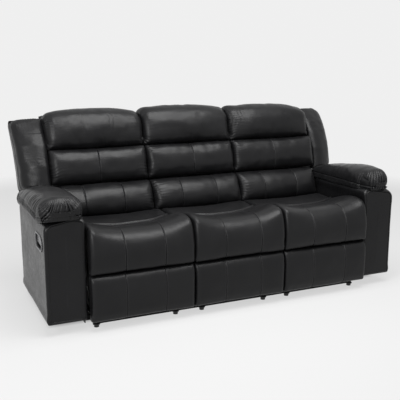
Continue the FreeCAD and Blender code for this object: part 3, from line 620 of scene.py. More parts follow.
body_of = {node: body for body, nodes in frame["record"]["behaviour"]["bodies"].items() for node in nodes}
slot_of = {part["node"]: part["material_slot"] for part in frame["record"]["subparts"]}


def add_piece(name, mesh, material, body):
    piece = add_object(name, mesh, material)
    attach(piece, body)
    return piece


def dress(node, skin, material, name=None):
    """Makes the finished mesh of a skin and lets it stand for its CAD node."""
    name = name or node + "_leather"
    piece = add_piece(name, skin_mesh(name, skin.points), material, body_of[node])
    piece.data.set_sharp_from_angle(angle=math.radians(62))
    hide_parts(node)
    return piece


def column_of(skin, row, place):
    """Fractional column at which a row passes a place on the long axis."""
    line = skin.along[row]
    keep = skin.cover > 0.99
    return float(np.interp(place, line[keep], np.flatnonzero(keep)))


def straight_seam(skin, place, first, last, offset):
    """Stitch line along the rows at a place on the long axis, moved sideways by an offset."""
    rows = np.linspace(first, last, 90)
    columns = np.array([column_of(skin, int(r) % len(skin.around), place + offset) for r in rows])
    return skin.trace(rows, columns)


def double_seams(skin, places, first):
    """Two rows of stitches beside each seam that runs over the padded side."""
    return [straight_seam(skin, place, first, skin.padded_rows - 6, offset)
            for place in places for offset in (-stitch_offset, stitch_offset)]


# Back rolls
roll_outlines = {
    "head": section(
        [(60, 485.3), (84, 486), (106, 498), (119, 528), (123, 576), (117, 632), (98, 684), (62, 718),
         (18, 730), (-30, 727), (-66, 717), (-85, 703)], [(-85.5, 690.6), (-58.6, 690.6), (-58.6, 485.3)]),
    "middle": section(
        [(60, 287.3), (84, 288), (107, 300), (120, 330), (124, 372), (122, 428), (109, 464), (86, 481),
         (60, 482.7)],
        [(-58.6, 482.7), (-58.6, 287.3)]),
    "lumbar": section(
        [(60, 97), (112, 94), (142, 99), (162, 119), (171, 154), (166, 196), (149, 237), (120, 267), (87, 281),
         (60, 284.7)], [(-58.6, 284.7), (-58.6, 100.6)])}
roll_seams = {"head": (), "middle": (0.0,), "lumbar": (-lumbar_seam_offset, lumbar_seam_offset)}
roll_ends = {"head": (50 * mm, 36 * mm), "middle": (42 * mm, 8 * mm), "lumbar": (54 * mm, 8 * mm)}

# How far the crest of each head roll lies below its outline: all along, at its left end and at its right end
head_falls = {"left": (10 * mm, 14 * mm, 22 * mm), "middle": (8 * mm, 0, 16 * mm),
              "right": (19 * mm, -8 * mm, 36 * mm)}


def part_of(along, low, high):
    """-1 at the low end, 0 in the middle and 1 at the high end."""
    return np.clip((along - low) / (high - low) * 2 - 1, -1, 1)


def roll_rounding(front, crest):
    """How far the ends of a roll are rounded: most in front and at the crest, little at the creases."""
    def rounding(points, normal):
        forward = np.clip(normal[:, 0], 0, 1)
        top = step(points[:, 1], 600 * mm, 700 * mm) * step(normal[:, 1], 0.1, 0.8)
        return 8 * mm + (front - 8 * mm) * forward ** 2 + (crest - 8 * mm) * top
    return rounding



def crest_crown(low, high, drop, left_fall, right_fall):
    """The top and the front of a head roll fall back towards its ends."""
    def bend(flat, along):
        part = part_of(along, low, high)
        fall = drop + 9 * mm * part ** 2
        fall = fall + left_fall * np.maximum(-part, 0) ** 3 + right_fall * np.maximum(part, 0) ** 2.5
        flat = flat.copy()
        flat[..., 1] -= step(flat[..., 1], 600 * mm, 730 * mm) * fall
        flat[..., 0] -= np.maximum(flat[..., 0], 0) * 0.18 * np.abs(part) ** 3
        return flat
    return bend


def roll_skin(seat, kind, low, high):
    outline = roll_outlines[kind]
    middle_u = outline[0][:outline[1], 1].mean()
    bend = crest_crown(low, high, *head_falls[seat]) if kind == "head" else None
    return loft(outline, low, high, roll_rounding(*roll_ends[kind]), (10 * mm, middle_u), back_place, bend,
                seams=[back_seam_centres[seat] + place for place in roll_seams[kind]])


def detail_roll(skin, kind, centre, seed):
    """Seams, gathered ends and soft folds of a back roll."""
    skin.finer()
    x, s, to_end, to_crease, shown = skin.measures()
    fan = folds(s / (17 * mm) + 0.9 * noise(x, s, 55 * mm, seed + 3) + 1.5 * to_end)
    height = uneven(x, s, seed, (2.4, 95), (1.1, 38))
    height += 4.2 * mm * near(to_end, 40) * fan * patches(s, 0 * s, 60, seed + 2, -0.5, 0.5, 0.25)
    height += (1.7 * mm * near(to_crease, 24) * wandering_folds(x, 21, 0.8, x, s, 60, seed + 5)
               * patches(x, 0 * x, 75, seed + 4, -0.15, 0.6))
    if kind == "head":
        hanging = patches(x, s * 0.35, 52, seed + 6, 0.25, 0.8) * step(to_crease, 0, 60 * mm)
        height += 1.5 * mm * hanging * wandering_folds(x, 24, 0.7, x, s, 48, seed + 7)
    for place in roll_seams[kind]:
        distance = x - centre - place
        height += seam_height(distance, 3.0 * mm, 2.4 * mm, 3.2 * mm, 30 * mm) + puckers(distance, s, seed + 8)
    skin.raised(height * shown)
    return double_seams(skin, [centre + place for place in roll_seams[kind]], 6)


# Seats and footrests
seat_outline = section(
    [(-396.5, 292.5), (-424, 290), (-443, 295), (-453, 316), (-457.5, 345), (-459, 378), (-456, 410),
     (-446, 440), (-428, 465), (-400, 482), (-362, 490), (-310, 489), (-250, 482), (-170, 472), (-100, 467),
     (-20, 466.5), (50, 463), (92, 452), (114, 432)], [(117.5, 337), (-396.5, 337)],
    fine=lambda p: (p[:, 1] > 440 * mm) & (p[:, 0] > -240 * mm) & (p[:, 0] < -50 * mm))
pad_outline = section(
    [(-396.6, 53), (-424, 50), (-443, 55), (-453, 78), (-458, 130), (-459.5, 185), (-457, 232), (-449, 264),
     (-433, 282), (-412, 288), (-396.6, 287.8)], [])


def seat_rounding(points, normal):
    """Sides of a seat: wide and soft along the top, tighter down the front."""
    top = np.clip(normal[:, 1], 0, 1)
    front = np.clip(-normal[:, 0], 0, 1)
    nose = 1 - step(points[:, 0], -330 * mm, -150 * mm)
    low = step(points[:, 1], 296 * mm, 350 * mm)
    return (12 + low * (14 * front ** 2 + (12 + 14 * nose) * top ** 1.5)) * mm

def smile(low, high):
    """The nose of a seat dips in the middle and rises to both sides."""
    def bend(flat, along):
        part = part_of(along, low, high)
        near_top = step(flat[..., 1], 400 * mm, 470 * mm)
        nose = 1 - step(flat[..., 0], -330 * mm, -60 * mm)
        flat = flat.copy()
        flat[..., 1] += near_top * ((12 + 42 * nose) * np.abs(part) ** 3 - 3 * nose) * mm
        return flat
    return bend


def seat_core(points):
    """Line inside the seat that its sides close towards."""
    y = np.clip(points[:, 0], -410 * mm, 90 * mm)
    z = np.where(points[:, 0] < -396 * mm, np.clip(points[:, 1], 350 * mm, 400 * mm), 400 * mm)
    return np.stack([y, z], 1)


def seat_seam_line(x, centre, half):
    """Cross seam on top of a seat: nearly straight in front of the sitter, curving back at its ends."""
    part = np.clip(np.abs(x - centre) / half, 0, 1)
    return seat_seam_y + (seat_seam_end_y - seat_seam_y) * part ** 3


def detail_seat(skin, centre, seed):
    """Cross seam, seams over the nose, folds at the upper corners and along the hidden front edge."""
    skin.finer()
    x, s, to_end, _, shown = skin.measures()
    y, z = skin.points[..., 1], skin.points[..., 2]
    middle, half = (x.min() + x.max()) / 2, (x.max() - x.min()) / 2
    top = step(z, 430 * mm, 455 * mm)
    cross = y - seat_seam_line(x, middle, half)
    height = uneven(x, s, seed, (1.4, 110), (0.6, 40))
    height += top * (seam_height(cross, 3.8 * mm, 3.4 * mm, 7.0 * mm, 42 * mm, 1.6 * mm)
                     + puckers(cross, x, seed + 2, 17, 1.5, 16))
    height += top * 6.5 * mm * np.exp(-((cross - 8 * mm) / (6 * mm)) ** 2)
    for place in seat_seams:
        distance = x - centre - place
        height += (1 - step(cross, -2 * mm, 2 * mm)) * (
            seam_height(distance, 2.6 * mm, 2.2 * mm, 2.2 * mm, 26 * mm)
            + puckers(distance, s, seed + 3, 16, 0.9, 12))
    corner = step(z, 400 * mm, 470 * mm) * patches(s, 0 * s, 70, seed + 5, -0.2, 0.6, 0.3)
    height += 2.0 * mm * near(to_end, 30) * wandering_folds(s, 19, 0.9, x, s, 60, seed + 4) * corner
    height += 1.1 * mm * near(s, 18) * wandering_folds(x, 23, 0.8, x, s, 70, seed + 6)
    skin.raised(height * shown)
    lines = []
    for offset in (-stitch_offset, stitch_offset):
        for place in seat_seams:
            last = row_where(skin, centre + place, seat_seam_line(centre + place, middle, half) - 8 * mm)
            lines.append(straight_seam(skin, centre + place, 5, last, offset))
        places = np.linspace(middle - half * 0.9, middle + half * 0.9, 70)
        rows = np.array([row_where(skin, p, seat_seam_line(p, middle, half) + offset) for p in places])
        columns = np.array([column_of(skin, int(r), p) for r, p in zip(rows, places)])
        lines.append(skin.trace(rows, columns))
    return lines


def row_where(skin, place, y):
    """Fractional row on top of a seat at which the skin passes y."""
    column = round(column_of(skin, skin.padded_rows // 2, place))
    line = skin.points[:skin.padded_rows, column]
    start = int(np.argmin(line[:, 1]))
    top = np.arange(start, skin.padded_rows)
    return float(np.interp(y, np.maximum.accumulate(line[top, 1]), top))


def pad_rounding(points, normal):
    return (6 + 15 * np.clip(-normal[:, 0], 0, 1) ** 2) * mm


def pad_core(points):
    return np.stack([np.full(len(points), -425 * mm), np.clip(points[:, 1], 120 * mm, 240 * mm)], 1)


def detail_pad(skin, centre, seed):
    """Seams and soft folds of a footrest pad."""
    skin.finer()
    x, s, to_end, to_edge, shown = skin.measures()
    height = uneven(x, s, seed, (1.3, 120), (0.6, 45))
    for place in seat_seams:
        distance = x - centre - place
        height += seam_height(distance, 2.2 * mm, 2.2 * mm, 2.0 * mm, 26 * mm)
        height += puckers(distance, s, seed + 2, 17, 0.8, 12)
    height += 1.3 * mm * near(to_edge, 20) * wandering_folds(x, 26, 0.8, x, s, 70, seed + 3)
    height += 1.1 * mm * near(to_end, 20) * wandering_folds(s, 20, 0.8, x, s, 60, seed + 4)
    skin.raised(height * shown)
    return double_seams(skin, [centre + place for place in seat_seams], 5)


# Arms
arm_pad_low, arm_pad_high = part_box("right_arm_pad")
arm_pad_outline = section(
    [(824, 573), (813, 581), (808.5, 602), (810, 626), (821, 650), (846, 669), (884, 680), (924, 684),
     (964, 681), (1002, 669), (1027, 650), (1038, 628), (1041, 606), (1033, 584), (1014, 573)],
    [], 6 * mm, 14 * mm)


def arm_pad_rounding(points, normal):
    """The pad rolls over its front end, most along its top."""
    top = np.clip(normal[:, 1], 0, 1)
    return (12 + 54 * top ** 1.5 + 10 * np.abs(normal[:, 0])) * mm


def arm_pad_core(points):
    return np.stack([np.clip(points[:, 0], 905 * mm, 940 * mm), np.full(len(points), 618 * mm)], 1)


arm_pad_middle_x = 922 * mm
gather_reach = 112 * mm         # of the fan of gathers, back from the front end


def arm_pad_share(y):
    """Height of the pad along the arm: full at the front, lower towards the back."""
    return 1 - 0.46 * step(y, arm_pad_low.y + 150 * mm, arm_pad_high.y + 80 * mm) ** 0.9


def arm_pad_bend(outer_taper, outer_end, inner_taper, inner_end):
    """The pad gets lower to the back and narrower round its front end, and its edges hang over the arm."""
    def taper(along, length, end):
        part = np.clip((arm_pad_low.y + length - along) / length, 0, 1)
        return np.sqrt(1 - (1 - end ** 2) * part ** 2)

    def bend(flat, along):
        flat = flat.copy()
        off = flat[..., 0] - arm_pad_middle_x
        outer = taper(along, outer_taper, outer_end)
        inner = taper(along, inner_taper, inner_end)
        flat[..., 0] = arm_pad_middle_x + off * np.where(off > 0, outer, inner)
        low = 1 - step(flat[..., 1], 575 * mm, 640 * mm)
        hang = 30 * mm * step(off, 66 * mm, 100 * mm) + 12 * mm * step(-off, 84 * mm, 108 * mm)
        hang = hang * step(along, arm_pad_low.y + 10 * mm, arm_pad_low.y + 130 * mm)
        flat[..., 1] = arm_pad_low.z + (flat[..., 1] - arm_pad_low.z) * arm_pad_share(along) - low * hang
        return flat
    return bend


def detail_arm_pad(skin, seed):
    """Fans of deep gathers round the front end, a lower seam and a gathered strip below it."""
    skin.finer()
    x, y, z = np.moveaxis(skin.points, 2, 0)
    s = skin.around[:, None] + 0 * x
    front_y = y.min()
    centre_y = front_y + gather_reach
    dx = x - arm_pad_middle_x
    ahead = np.maximum(centre_y - y, 0)
    travel = np.abs(np.arctan2(dx, ahead + 1e-9)) * gather_reach + np.maximum(y - centre_y, 0)
    rise = (z - arm_pad_low.z) / ((arm_pad_high.z - arm_pad_low.z) * arm_pad_share(y))
    outside = step(dx, 20 * mm, 80 * mm)
    lean = travel + (0.75 * outside + 0.15) * (z - 600 * mm)
    count = np.where(lean < 190 * mm, lean / (17 * mm), 190 / 17 + (lean - 190 * mm) / (33 * mm))
    count = count + 0.42 * noise(lean * np.sign(dx), z, 46 * mm, seed)
    strength = patches(lean * np.sign(dx), 0 * z, 30, seed + 1, -0.6, 0.4, 0.35)
    fade = 1 - step(y, centre_y - 10 * mm, centre_y + (60 + 300 * outside) * mm)
    fade = fade * (0.45 + 0.55 * step(dx, -90 * mm, -20 * mm))
    wall = step(np.hypot(dx, ahead), 30 * mm, 84 * mm) * (1 - step(rise, 0.62, 0.97))
    height = 9 * mm * folds(count) * strength * fade * wall
    height += (1.8 * noise(x, y, 85 * mm, seed + 2) + 0.9 * noise(s, y, 34 * mm, seed + 3)) * mm
    seam = z - lower_seam_z(y, front_y)
    side = np.clip(step(np.abs(dx), 60 * mm, 90 * mm) + step(ahead, 60 * mm, 85 * mm), 0, 1)
    strip = wandering_folds(travel, 13, 0.5, travel * np.sign(dx), z, 40, seed + 5)
    height += side * seam_height(seam, 3.4 * mm, 2.8 * mm, 3.0 * mm, 20 * mm)
    height += side * step(-seam, 0, 6 * mm) * (0.8 + 2.6 * strip) * mm
    height += side * puckers(seam, travel, seed + 4, 14, 1.6, 14)
    skin.raised(height * step(z, arm_pad_low.z, arm_pad_low.z + 6 * mm))


def lower_seam_z(y, front_y):
    """Height of the seam round the lower edge of an arm pad."""
    return (602 - 8 * (1 - step(y, front_y + 20 * mm, front_y + 200 * mm))) * mm


shell_low, shell_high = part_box("right_arm_shell")
lever_middle = sum(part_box("right_release_lever"), Vector()) / 2


def arm_outline():
    """Cross-section of the upholstered arm: large round on the outer top edge, small ones elsewhere."""
    x0, x1 = shell_low.x / mm, shell_high.x / mm
    z0, z1 = shell_low.z / mm, shell_high.z / mm
    big = 52
    arc = [(x1 - big + big * math.sin(a), z1 - 0.4 - big + big * math.cos(a))
           for a in np.linspace(math.pi / 2, 0, 7)]
    outer = [(x1 - 7, z0), (x1 - 1.5, z0 + 6), (x1 - 0.6, z0 + 60), (x1 - 0.6, z0 + 200),
             (x1 - 0.6, z0 + 400)]
    inner = [(x0 + 8, z1 - 0.4), (x0 + 1.5, z1 - 6), (x0 + 0.5, z1 - 60), (x0 + 0.5, z0 + 60),
             (x0 + 1.5, z0 + 6), (x0 + 7, z0)]
    return section(outer + arc + inner, [], 11 * mm, 22 * mm)


def arm_core(points):
    middle = (shell_low.x + shell_high.x) / 2
    z = np.clip(points[:, 1], shell_low.z + 80 * mm, shell_high.z - 80 * mm)
    return np.stack([np.full(len(points), middle), z], 1)


def arm_rounding(points, normal):
    return (12 + 26 * step(normal[:, 1], 0.3, 0.95)) * mm


def arm_skin():
    return loft(arm_outline(), shell_low.y, shell_high.y, arm_rounding, arm_core, arm_place,
                None, 11 * mm, bulge=1.5 * mm, closed=12, high_share=0.6)


def detail_arm(skin, seed):
    """Slack, slightly wavy leather on the flat sides of the arm and its padded front panel."""
    skin.finer()
    skin.cover = np.ones_like(skin.cover)
    y = skin.along
    x, z = skin.points[..., 0], skin.points[..., 2]
    drag = step(z, 430 * mm, 560 * mm) * step(y, shell_low.y + 20 * mm, shell_low.y + 90 * mm)
    height = uneven(y, z, seed, (1.0, 150), (0.5, 55))
    height += 0.9 * mm * drag * wandering_folds(y, 38, 0.8, y, z, 90, seed + 2)
    near_cup = 1 - step(np.hypot(y - lever_middle.y, z - lever_middle.z), 80 * mm, 130 * mm)
    near_cup = near_cup * step(x, 950 * mm, 1000 * mm)
    height = height * (1 - near_cup) - 0.4 * mm * near_cup
    panel = 1 - step(y, shell_low.y - 1 * mm, shell_low.y + 6 * mm)
    skin.raised(height * (1 - panel) + panel * 0.8 * mm * noise(x, z, 90 * mm, seed + 3))


# Wings
wing_outline = section(
    [(846, 58), (850, 82), (866, 95), (896, 97), (938, 85), (976, 64), (998, 38), (1005, 4), (1006, -44),
     (1005, -80)], [(1004, -86), (846, -86)])
wing_rear_n = -86 * mm
wing_seam_distance = 245 * mm   # round the section, to the outer seam
wing_heights = np.array([268, 397, 519, 580, 625, 665, 690]) * mm
wing_shares = (1.0, 1.0, 0.88, 0.74, 0.58, 0.42, 0.34)
wing_spread = {"left": (-3, 0, 6, 12, 16, 20, 22), "right": (4, 8, 8, 6, 4, 2, 0)}   # mm, from the foot up


def wing_bend(spread):
    """A wing gets thinner towards its top, and its outer side leans out by the given spread."""
    def bend(flat, along):
        out = np.interp(along, wing_heights, np.array(spread) * mm)
        flat = flat.copy()
        flat[..., 0] += out * step(flat[..., 0], 900 * mm, 1000 * mm)
        flat[..., 1] = wing_rear_n + (flat[..., 1] - wing_rear_n) * np.interp(along, wing_heights, wing_shares)
        return flat
    return bend


def wing_rounding(points, normal):
    outward = np.clip(normal[:, 0], 0, 1) * (0.85 + 0.15 * step(points[:, 1], -70 * mm, 20 * mm))
    outward = np.maximum(outward, 0.85 * step(points[:, 0], 925 * mm, 1000 * mm))
    forward = np.clip(normal[:, 1], 0, 1)
    return (7 + 46 * outward ** 2 + 16 * forward ** 2) * mm


def wing_core(points):
    x = np.clip(points[:, 0], 875 * mm, 940 * mm)
    return np.stack([x, np.full(len(points), -10 * mm)], 1)


def wing_skin(spread):
    return loft(wing_outline, 269 * mm, 681 * mm, wing_rounding, wing_core, wing_place, wing_bend(spread))


def detail_wing(skin, seed):
    """Outer seam and soft folds of a wing. The last line that it gives is the seam's own, for its welt."""
    skin.finer()
    u, s, to_end, _, shown = skin.measures()
    height = uneven(u, s, seed, (1.8, 80), (1.0, 30))
    height += 2.0 * mm * near(to_end, 35) * wandering_folds(s, 18, 1, u, s, 50, seed + 2)
    height += (1.2 * mm * patches(u, s, 60, seed + 3, 0.1, 0.7)
               * wandering_folds(u, 15, 0.9, u, s, 35, seed + 4))
    height += seam_height(s - wing_seam_distance, 2.4 * mm, 2.4 * mm, 1.5 * mm, 14 * mm)
    skin.raised(height * shown)
    rows = np.full(80, np.interp(wing_seam_distance, skin.around, np.arange(len(skin.around))))
    keep = np.flatnonzero(skin.cover > 0.99)
    columns = np.linspace(keep[0] + 4, keep[-1] - 4, len(rows))
    return [skin.trace(rows + offset, columns) for offset in (1.2, -1.2, 0)]


# Rear covers
def cover_outline():
    front_n, rear_n = -86.5, -103.3
    padded = [(front_n - 2, -139), (rear_n + 3, -139.5), (rear_n, -128), (rear_n - 3, 0), (rear_n - 4.5, 180),
              (rear_n - 5, 350), (rear_n - 4, 520), (rear_n - 1.5, 640), (rear_n + 1, 690),
              (rear_n + 7, 703.5),
              (front_n - 2, 704.5)]
    return section(padded, [(front_n, 704.5), (front_n, -139)], 12 * mm, 30 * mm)


def cover_rounding(points, normal):
    top = step(points[:, 1], 600 * mm, 700 * mm)
    return (7 + 34 * top * np.clip(normal[:, 1], 0, 1) + 0 * points[:, 0]) * mm


seat_outer_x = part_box("right_seat_cushion")[1].x
wing_side_x = 845.5 * mm        # outer end of a rear cover beside its wing


def cover_skin(low, high, wing_side):
    """Rear cover. Beside a wing it is narrower than over the seat below."""
    outline = cover_outline()
    highs = np.full(len(outline[0]), high)
    if wing_side:
        below = 1 - step(outline[0][:, 1], 250 * mm, 272 * mm)
        highs = (seat_outer_x - 0.5 * mm) * below + wing_side_x * (1 - below)
    core = lambda p: np.stack([np.full(len(p), -95 * mm), np.clip(p[:, 1], 0, 600 * mm)], 1)
    return loft(outline, low, highs, cover_rounding, core, back_place, None, 12 * mm)


def detail_cover(skin, seed):
    skin.finer()
    x, s, to_end, to_edge, shown = skin.measures()
    height = uneven(x, s, seed, (1.6, 160), (0.8, 60))
    height += 0.9 * mm * near(to_end, 40) * wandering_folds(s, 48, 0.8, x, s, 90, seed + 2)
    height += 1.2 * mm * near(to_edge, 30) * wandering_folds(x, 34, 0.8, x, s, 90, seed + 3)
    skin.raised(height * shown)


# Where the leather of neighbouring seats and backs meets: shifts of the left and the right parting line
partings = {"head": (-22 * mm, 4 * mm), "middle": (-20 * mm, 6 * mm), "lumbar": (-16 * mm, 8 * mm),
            "seat": (8 * mm, 9 * mm)}
outer_shifts = {"head": (-22 * mm, 8 * mm), "middle": (-18 * mm, 14 * mm), "lumbar": (0, 7 * mm),
                "seat": (0, 9 * mm)}
back_seam_centres = {"left": -575 * mm, "middle": -2 * mm, "right": 545 * mm}
seat_seam_centres = {"left": -525 * mm, "middle": 20 * mm, "right": 560 * mm}

# How an arm pad narrows round its front end: length and end on its outer side, then on its inner side
pad_tapers = {"left": (60 * mm, 0.86, 110 * mm, 0.74), "right": (400 * mm, 0.26, 190 * mm, 0.60)}
softness = {"roll": 0.42, "cushion": 0.20, "pad": 0.14, "wing": 0.15}
arm_pad_softness = 0.40
seeds = {"left": 100, "middle": 200, "right": 300}


def span(seat, kind, node):
    """Left and right end of a padded piece, moved to the parting lines."""
    low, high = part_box(node)
    left = {"left": outer_shifts[kind][0], "middle": partings[kind][0], "right": partings[kind][1]}[seat]
    right = {"left": partings[kind][0], "middle": partings[kind][1], "right": outer_shifts[kind][1]}[seat]
    return low.x + left, high.x + right


skins = {}
for seat in seats:
    for kind in roll_outlines:
        node = f"{seat}_{kind}_roll"
        skins[node] = roll_skin(seat, kind, *span(seat, kind, node))
    ends = span(seat, "seat", f"{seat}_seat_cushion")
    places = [seat_seam_centres[seat] + place for place in seat_seams]
    skins[f"{seat}_seat_cushion"] = loft(seat_outline, *ends, seat_rounding, seat_core, level_place,
                                         smile(*ends), seams=places)
    node = "middle_front_pad" if seat == "middle" else f"{seat}_footrest_pad"
    skins[node] = loft(pad_outline, *ends, pad_rounding, pad_core, level_place, seams=places)
for side, sign in sides:
    skins[side + "_arm_pad"] = loft(
        arm_pad_outline, arm_pad_low.y, arm_pad_high.y + 4 * mm, arm_pad_rounding, arm_pad_core, arm_place,
        arm_pad_bend(*pad_tapers[side]), 6 * mm, bulge=6 * mm, high_share=0.35)
    skins[side + "_wing"] = wing_skin(wing_spread[side])
shares = [arm_pad_softness if "arm" in node else softness[node.split("_")[-1]] for node in skins]
inflate(list(skins.values()), shares)

for index, (node, skin) in enumerate(skins.items()):
    seat, kind = node.split("_", 1)
    seed = seeds[seat] + 10 * index
    lines = []
    if kind.endswith("_roll"):
        lines = detail_roll(skin, kind.split("_")[0], back_seam_centres[seat], seed)
    elif kind == "seat_cushion":
        lines = detail_seat(skin, seat_seam_centres[seat], seed)
    elif kind == "arm_pad":
        detail_arm_pad(skin, seed)
    elif kind == "wing":
        lines = detail_wing(skin, seed)
    else:
        lines = detail_pad(skin, seat_seam_centres[seat], seed)
    if seat == "left" and kind in ("arm_pad", "wing"):
        skin = skin.mirrored()
        lines = [(path * (-1, 1, 1), normal * (-1, 1, 1)) for path, normal in lines]
    dress(node, skin, cushion_leather)
    welt_line = lines.pop() if kind == "wing" else None
    if lines:
        add_piece(node + "_stitches", stitch_rows(node, lines), seam_thread, body_of[node])
    if welt_line:
        path, normal = welt_line
        welt = tube_mesh(node, path + normal * 0.5 * mm, 2.2 * mm)
        add_piece(node + "_welt", welt, cushion_leather, body_of[node])

for seat in seats:
    low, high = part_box("middle_rear_cover" if seat == "middle" else "right_rear_cover")
    skin = cover_skin(low.x, high.x, seat != "middle")
    detail_cover(skin, seeds[seat] + 7)
    dress(f"{seat}_rear_cover", skin.mirrored() if seat == "left" else skin, panel_leather)


def cup_cutter(sign):
    """Prism with the oval outline of the handle cup, used to open the arm's outer side."""
    low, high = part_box("handle_cups")
    flange, play = 6 * mm, 0.6 * mm
    y0, y1 = low.y + flange - play, high.y - flange + play
    z0, z1 = low.z + flange - play, high.z - flange + play
    radius, middle_z = (z1 - z0) / 2, (z0 + z1) / 2
    turns = np.linspace(-math.pi / 2, math.pi / 2, 17)
    loop = [(y1 - radius + radius * math.cos(a), middle_z + radius * math.sin(a)) for a in turns]
    loop += [(y0 + radius - radius * math.cos(a), middle_z - radius * math.sin(a)) for a in turns]
    points = [(sign * x, y, z) for x in (shell_high.x - 43 * mm, shell_high.x + 30 * mm) for y, z in loop]
    mesh = simple_mesh("cup_cutter", points, tube_faces(0, 2, len(loop)), False)
    if sign < 0:
        mesh.flip_normals()
    return add_object("cup_cutter", mesh, None)


def open_cup(piece, sign):
    """Opens the outer side of an arm for the handle cup."""
    cut = piece.modifiers.new("cup", "BOOLEAN")
    cut.operation = "DIFFERENCE"
    cut.solver = "EXACT"
    cut.object = cup_cutter(sign)
    graph = bpy.context.evaluated_depsgraph_get()
    mesh = bpy.data.meshes.new_from_object(piece.evaluated_get(graph))
    bpy.data.objects.remove(cut.object)
    piece.modifiers.clear()
    old = piece.data
    piece.data = mesh
    bpy.data.meshes.remove(old)
    mesh.set_sharp_from_angle(angle=math.radians(50))


welt_inset = 14 * mm            # of the seam round an arm's front panel
for side, sign in sides:
    skin = arm_skin()
    detail_arm(skin, seeds[side] + 3)
    piece = dress(side + "_arm_shell", skin.mirrored() if side == "left" else skin, panel_leather,
                  side + "_arm_leather")
    open_cup(piece, sign)
    outline, _ = arm_outline()
    line = outline - outward_normals(outline) * welt_inset
    path = np.stack([sign * line[:, 0], np.full(len(line), shell_low.y), line[:, 1]], 1)
    add_piece(side + "_arm_welt", tube_mesh("welt", path, 2.6 * mm, closed=True), panel_leather, "base")


def lining():
    """Dust cloth hung between the arms, under the backs, in small waves. This near-black sheet closes the
    see-through gaps behind the seats, and is partly real dust cloth and partly painted shade.
    """
    half_width = shell_low.x - 3 * mm
    low_z, high_z = 62 * mm, 186 * mm
    columns, rows = 180, 14
    points, faces = [], []
    for j in range(rows + 1):
        for i in range(columns + 1):
            x = -half_width + 2 * half_width * i / columns
            sag = 2.2 * mm * math.sin(x / (34 * mm)) * (1 - j / rows) + 0.8 * mm * math.sin(x / (11 * mm) + j)
            points.append((x, 238 * mm + sag, low_z + (high_z - low_z) * j / rows))
    for j in range(rows):
        for i in range(columns):
            a = j * (columns + 1) + i
            faces.append((a, a + 1, a + columns + 2, a + columns + 1))
    return simple_mesh("lining", points, faces)


# near-black sheet that closes see-through gaps: partly real dust cloth, partly painted shade
add_piece("rear_lining", lining(), woven(), "base")

# Finishes of the pieces that keep their shape
finish_of_slot = {
    # black paint, darkened below real black paint to 0.006 as painted shade for the dark underside of the sofa
    "black_steel": steel("black_steel_paint_under_shade", (0.006, 0.006, 0.006), 0.5, 0.0, 0.15),
    "spring_steel": steel("spring_wire", (0.42, 0.42, 0.43), 0.32, 1.0, 0.5),
    # the cup rims outside the arm's outer side get a painted highlight
    "black_plastic": plastic("black_plastic", (0.006, 0.006, 0.006), 0.40, shell_high.x),
    "lever_plastic": plastic("lever_plastic", (0.14, 0.14, 0.143), 0.25),
    "frame_wood": plywood(), "cushion_leather": cushion_leather, "panel_leather": panel_leather}
for node, slot in slot_of.items():
    for material_slot in frame["nodes"][node].material_slots:
        material_slot.material = finish_of_slot[slot]


# Stage
background_level = 0.865
floor_glow = 0.70               # share of the background's own tone in the floor under the sofa
floor_half = 30.0
background = (background_level,) * 3 + (1,)


def picture_rays(tree):
    """1 for rays that show the background: straight from the camera, mirrored or passing through."""
    rays = tree.nodes.new("ShaderNodeLightPath").outputs
    total = rays["Is Camera Ray"]
    for name in ("Is Glossy Ray", "Is Transmission Ray"):
        total = combined(tree, "MAXIMUM", total, rays[name])
    return total


def mixed_shader(tree, share, first, second, end):
    mix = tree.nodes.new("ShaderNodeMixShader")
    for value, socket in zip((share, first, second), mix.inputs):
        tree.links.new(value, socket)
    tree.links.new(mix.outputs["Shader"], tree.nodes[end].inputs["Surface"])


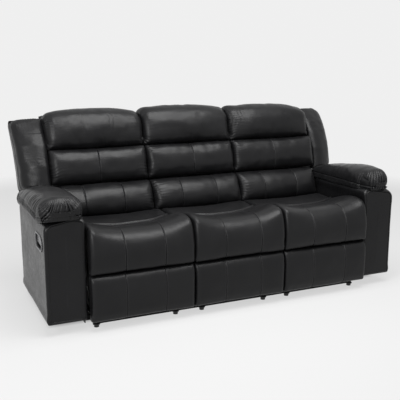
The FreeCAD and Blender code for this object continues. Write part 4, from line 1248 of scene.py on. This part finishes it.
def floor_material():
    """Pale floor that keeps its shadow near the sofa and runs into the background further out."""
    material, tree, place = new_material("floor")
    length = combined(tree, "LENGTH", place, kind="ShaderNodeVectorMath")
    outside = combined(tree, "ABSOLUTE", place, kind="ShaderNodeVectorMath", output="Vector")
    axes = tree.nodes.new("ShaderNodeSeparateXYZ")
    tree.links.new(outside, axes.inputs["Vector"])
    clear = combined(tree, "MAXIMUM", ramp(tree, axes.outputs["X"], 0.92, 1.00, 0.0, floor_glow),
                     ramp(tree, axes.outputs["Y"], 0.22, 0.30, 0.0, floor_glow))
    far = combined(tree, "MAXIMUM", clear, ramp(tree, length, 1.5, 4.2, 0.0, 1.0))
    speckle = noise_texture(tree, place, 60.0, 3.0)
    finish(tree, {"Base Color": mixed_colour(tree, speckle, (0.68, 0.68, 0.68), (0.70, 0.70, 0.70)),
                  "Roughness": 0.9, "Specular IOR Level": 0.1})
    glow = tree.nodes.new("ShaderNodeEmission")
    glow.inputs["Color"].default_value = background
    mixed_shader(tree, combined(tree, "MULTIPLY", far, picture_rays(tree)),
                 tree.nodes["Principled BSDF"].outputs["BSDF"], glow.outputs["Emission"], "Material Output")
    return material


def set_stage():
    corners = [(x * floor_half, y * floor_half, 0) for x, y in ((-1, -1), (1, -1), (1, 1), (-1, 1))]
    add_object("floor", simple_mesh("floor", corners, [(0, 1, 2, 3)], False), floor_material())
    world = bpy.data.worlds.new("studio")
    bpy.context.scene.world = world
    world.use_nodes = True
    tree = world.node_tree
    light = tree.nodes["Background"]
    light.inputs["Color"].default_value = (1, 1, 1, 1)
    light.inputs["Strength"].default_value = 0.30
    seen = tree.nodes.new("ShaderNodeBackground")
    seen.inputs["Color"].default_value = background
    mixed_shader(tree, picture_rays(tree), light.outputs["Background"], seen.outputs["Background"],
                 "World Output")


def add_softbox(name, place, aim, width, height, power):
    data = bpy.data.lights.new(name, "AREA")
    data.shape = "RECTANGLE"
    data.size = width
    data.size_y = height
    data.energy = power
    lamp = bpy.data.objects.new(name, data)
    bpy.context.scene.collection.objects.link(lamp)
    lamp.location = place
    lamp.rotation_mode = "QUATERNION"
    lamp.rotation_quaternion = (Vector(aim) - Vector(place)).to_track_quat("-Z", "Y")


def add_camera():
    data = bpy.data.cameras.new("camera")
    data.sensor_width = sensor_width
    data.lens = camera_focal_pixels / picture_pixels * sensor_width
    camera = bpy.data.objects.new("camera", data)
    bpy.context.scene.collection.objects.link(camera)
    camera.location = camera_place
    camera.rotation_euler = (math.radians(90 - camera_pitch), 0, math.radians(-camera_turn))
    bpy.context.scene.camera = camera


set_stage()
add_softbox("top_softbox", (0.0, -0.9, 3.1), (0, 0, 0.6), 2.6, 1.9, 120)
add_softbox("side_softbox", (-3.1, -2.2, 2.1), (-0.6, 0, 0.6), 1.3, 1.3, 60)
add_camera()
bpy.context.scene.view_settings.view_transform = "Standard"
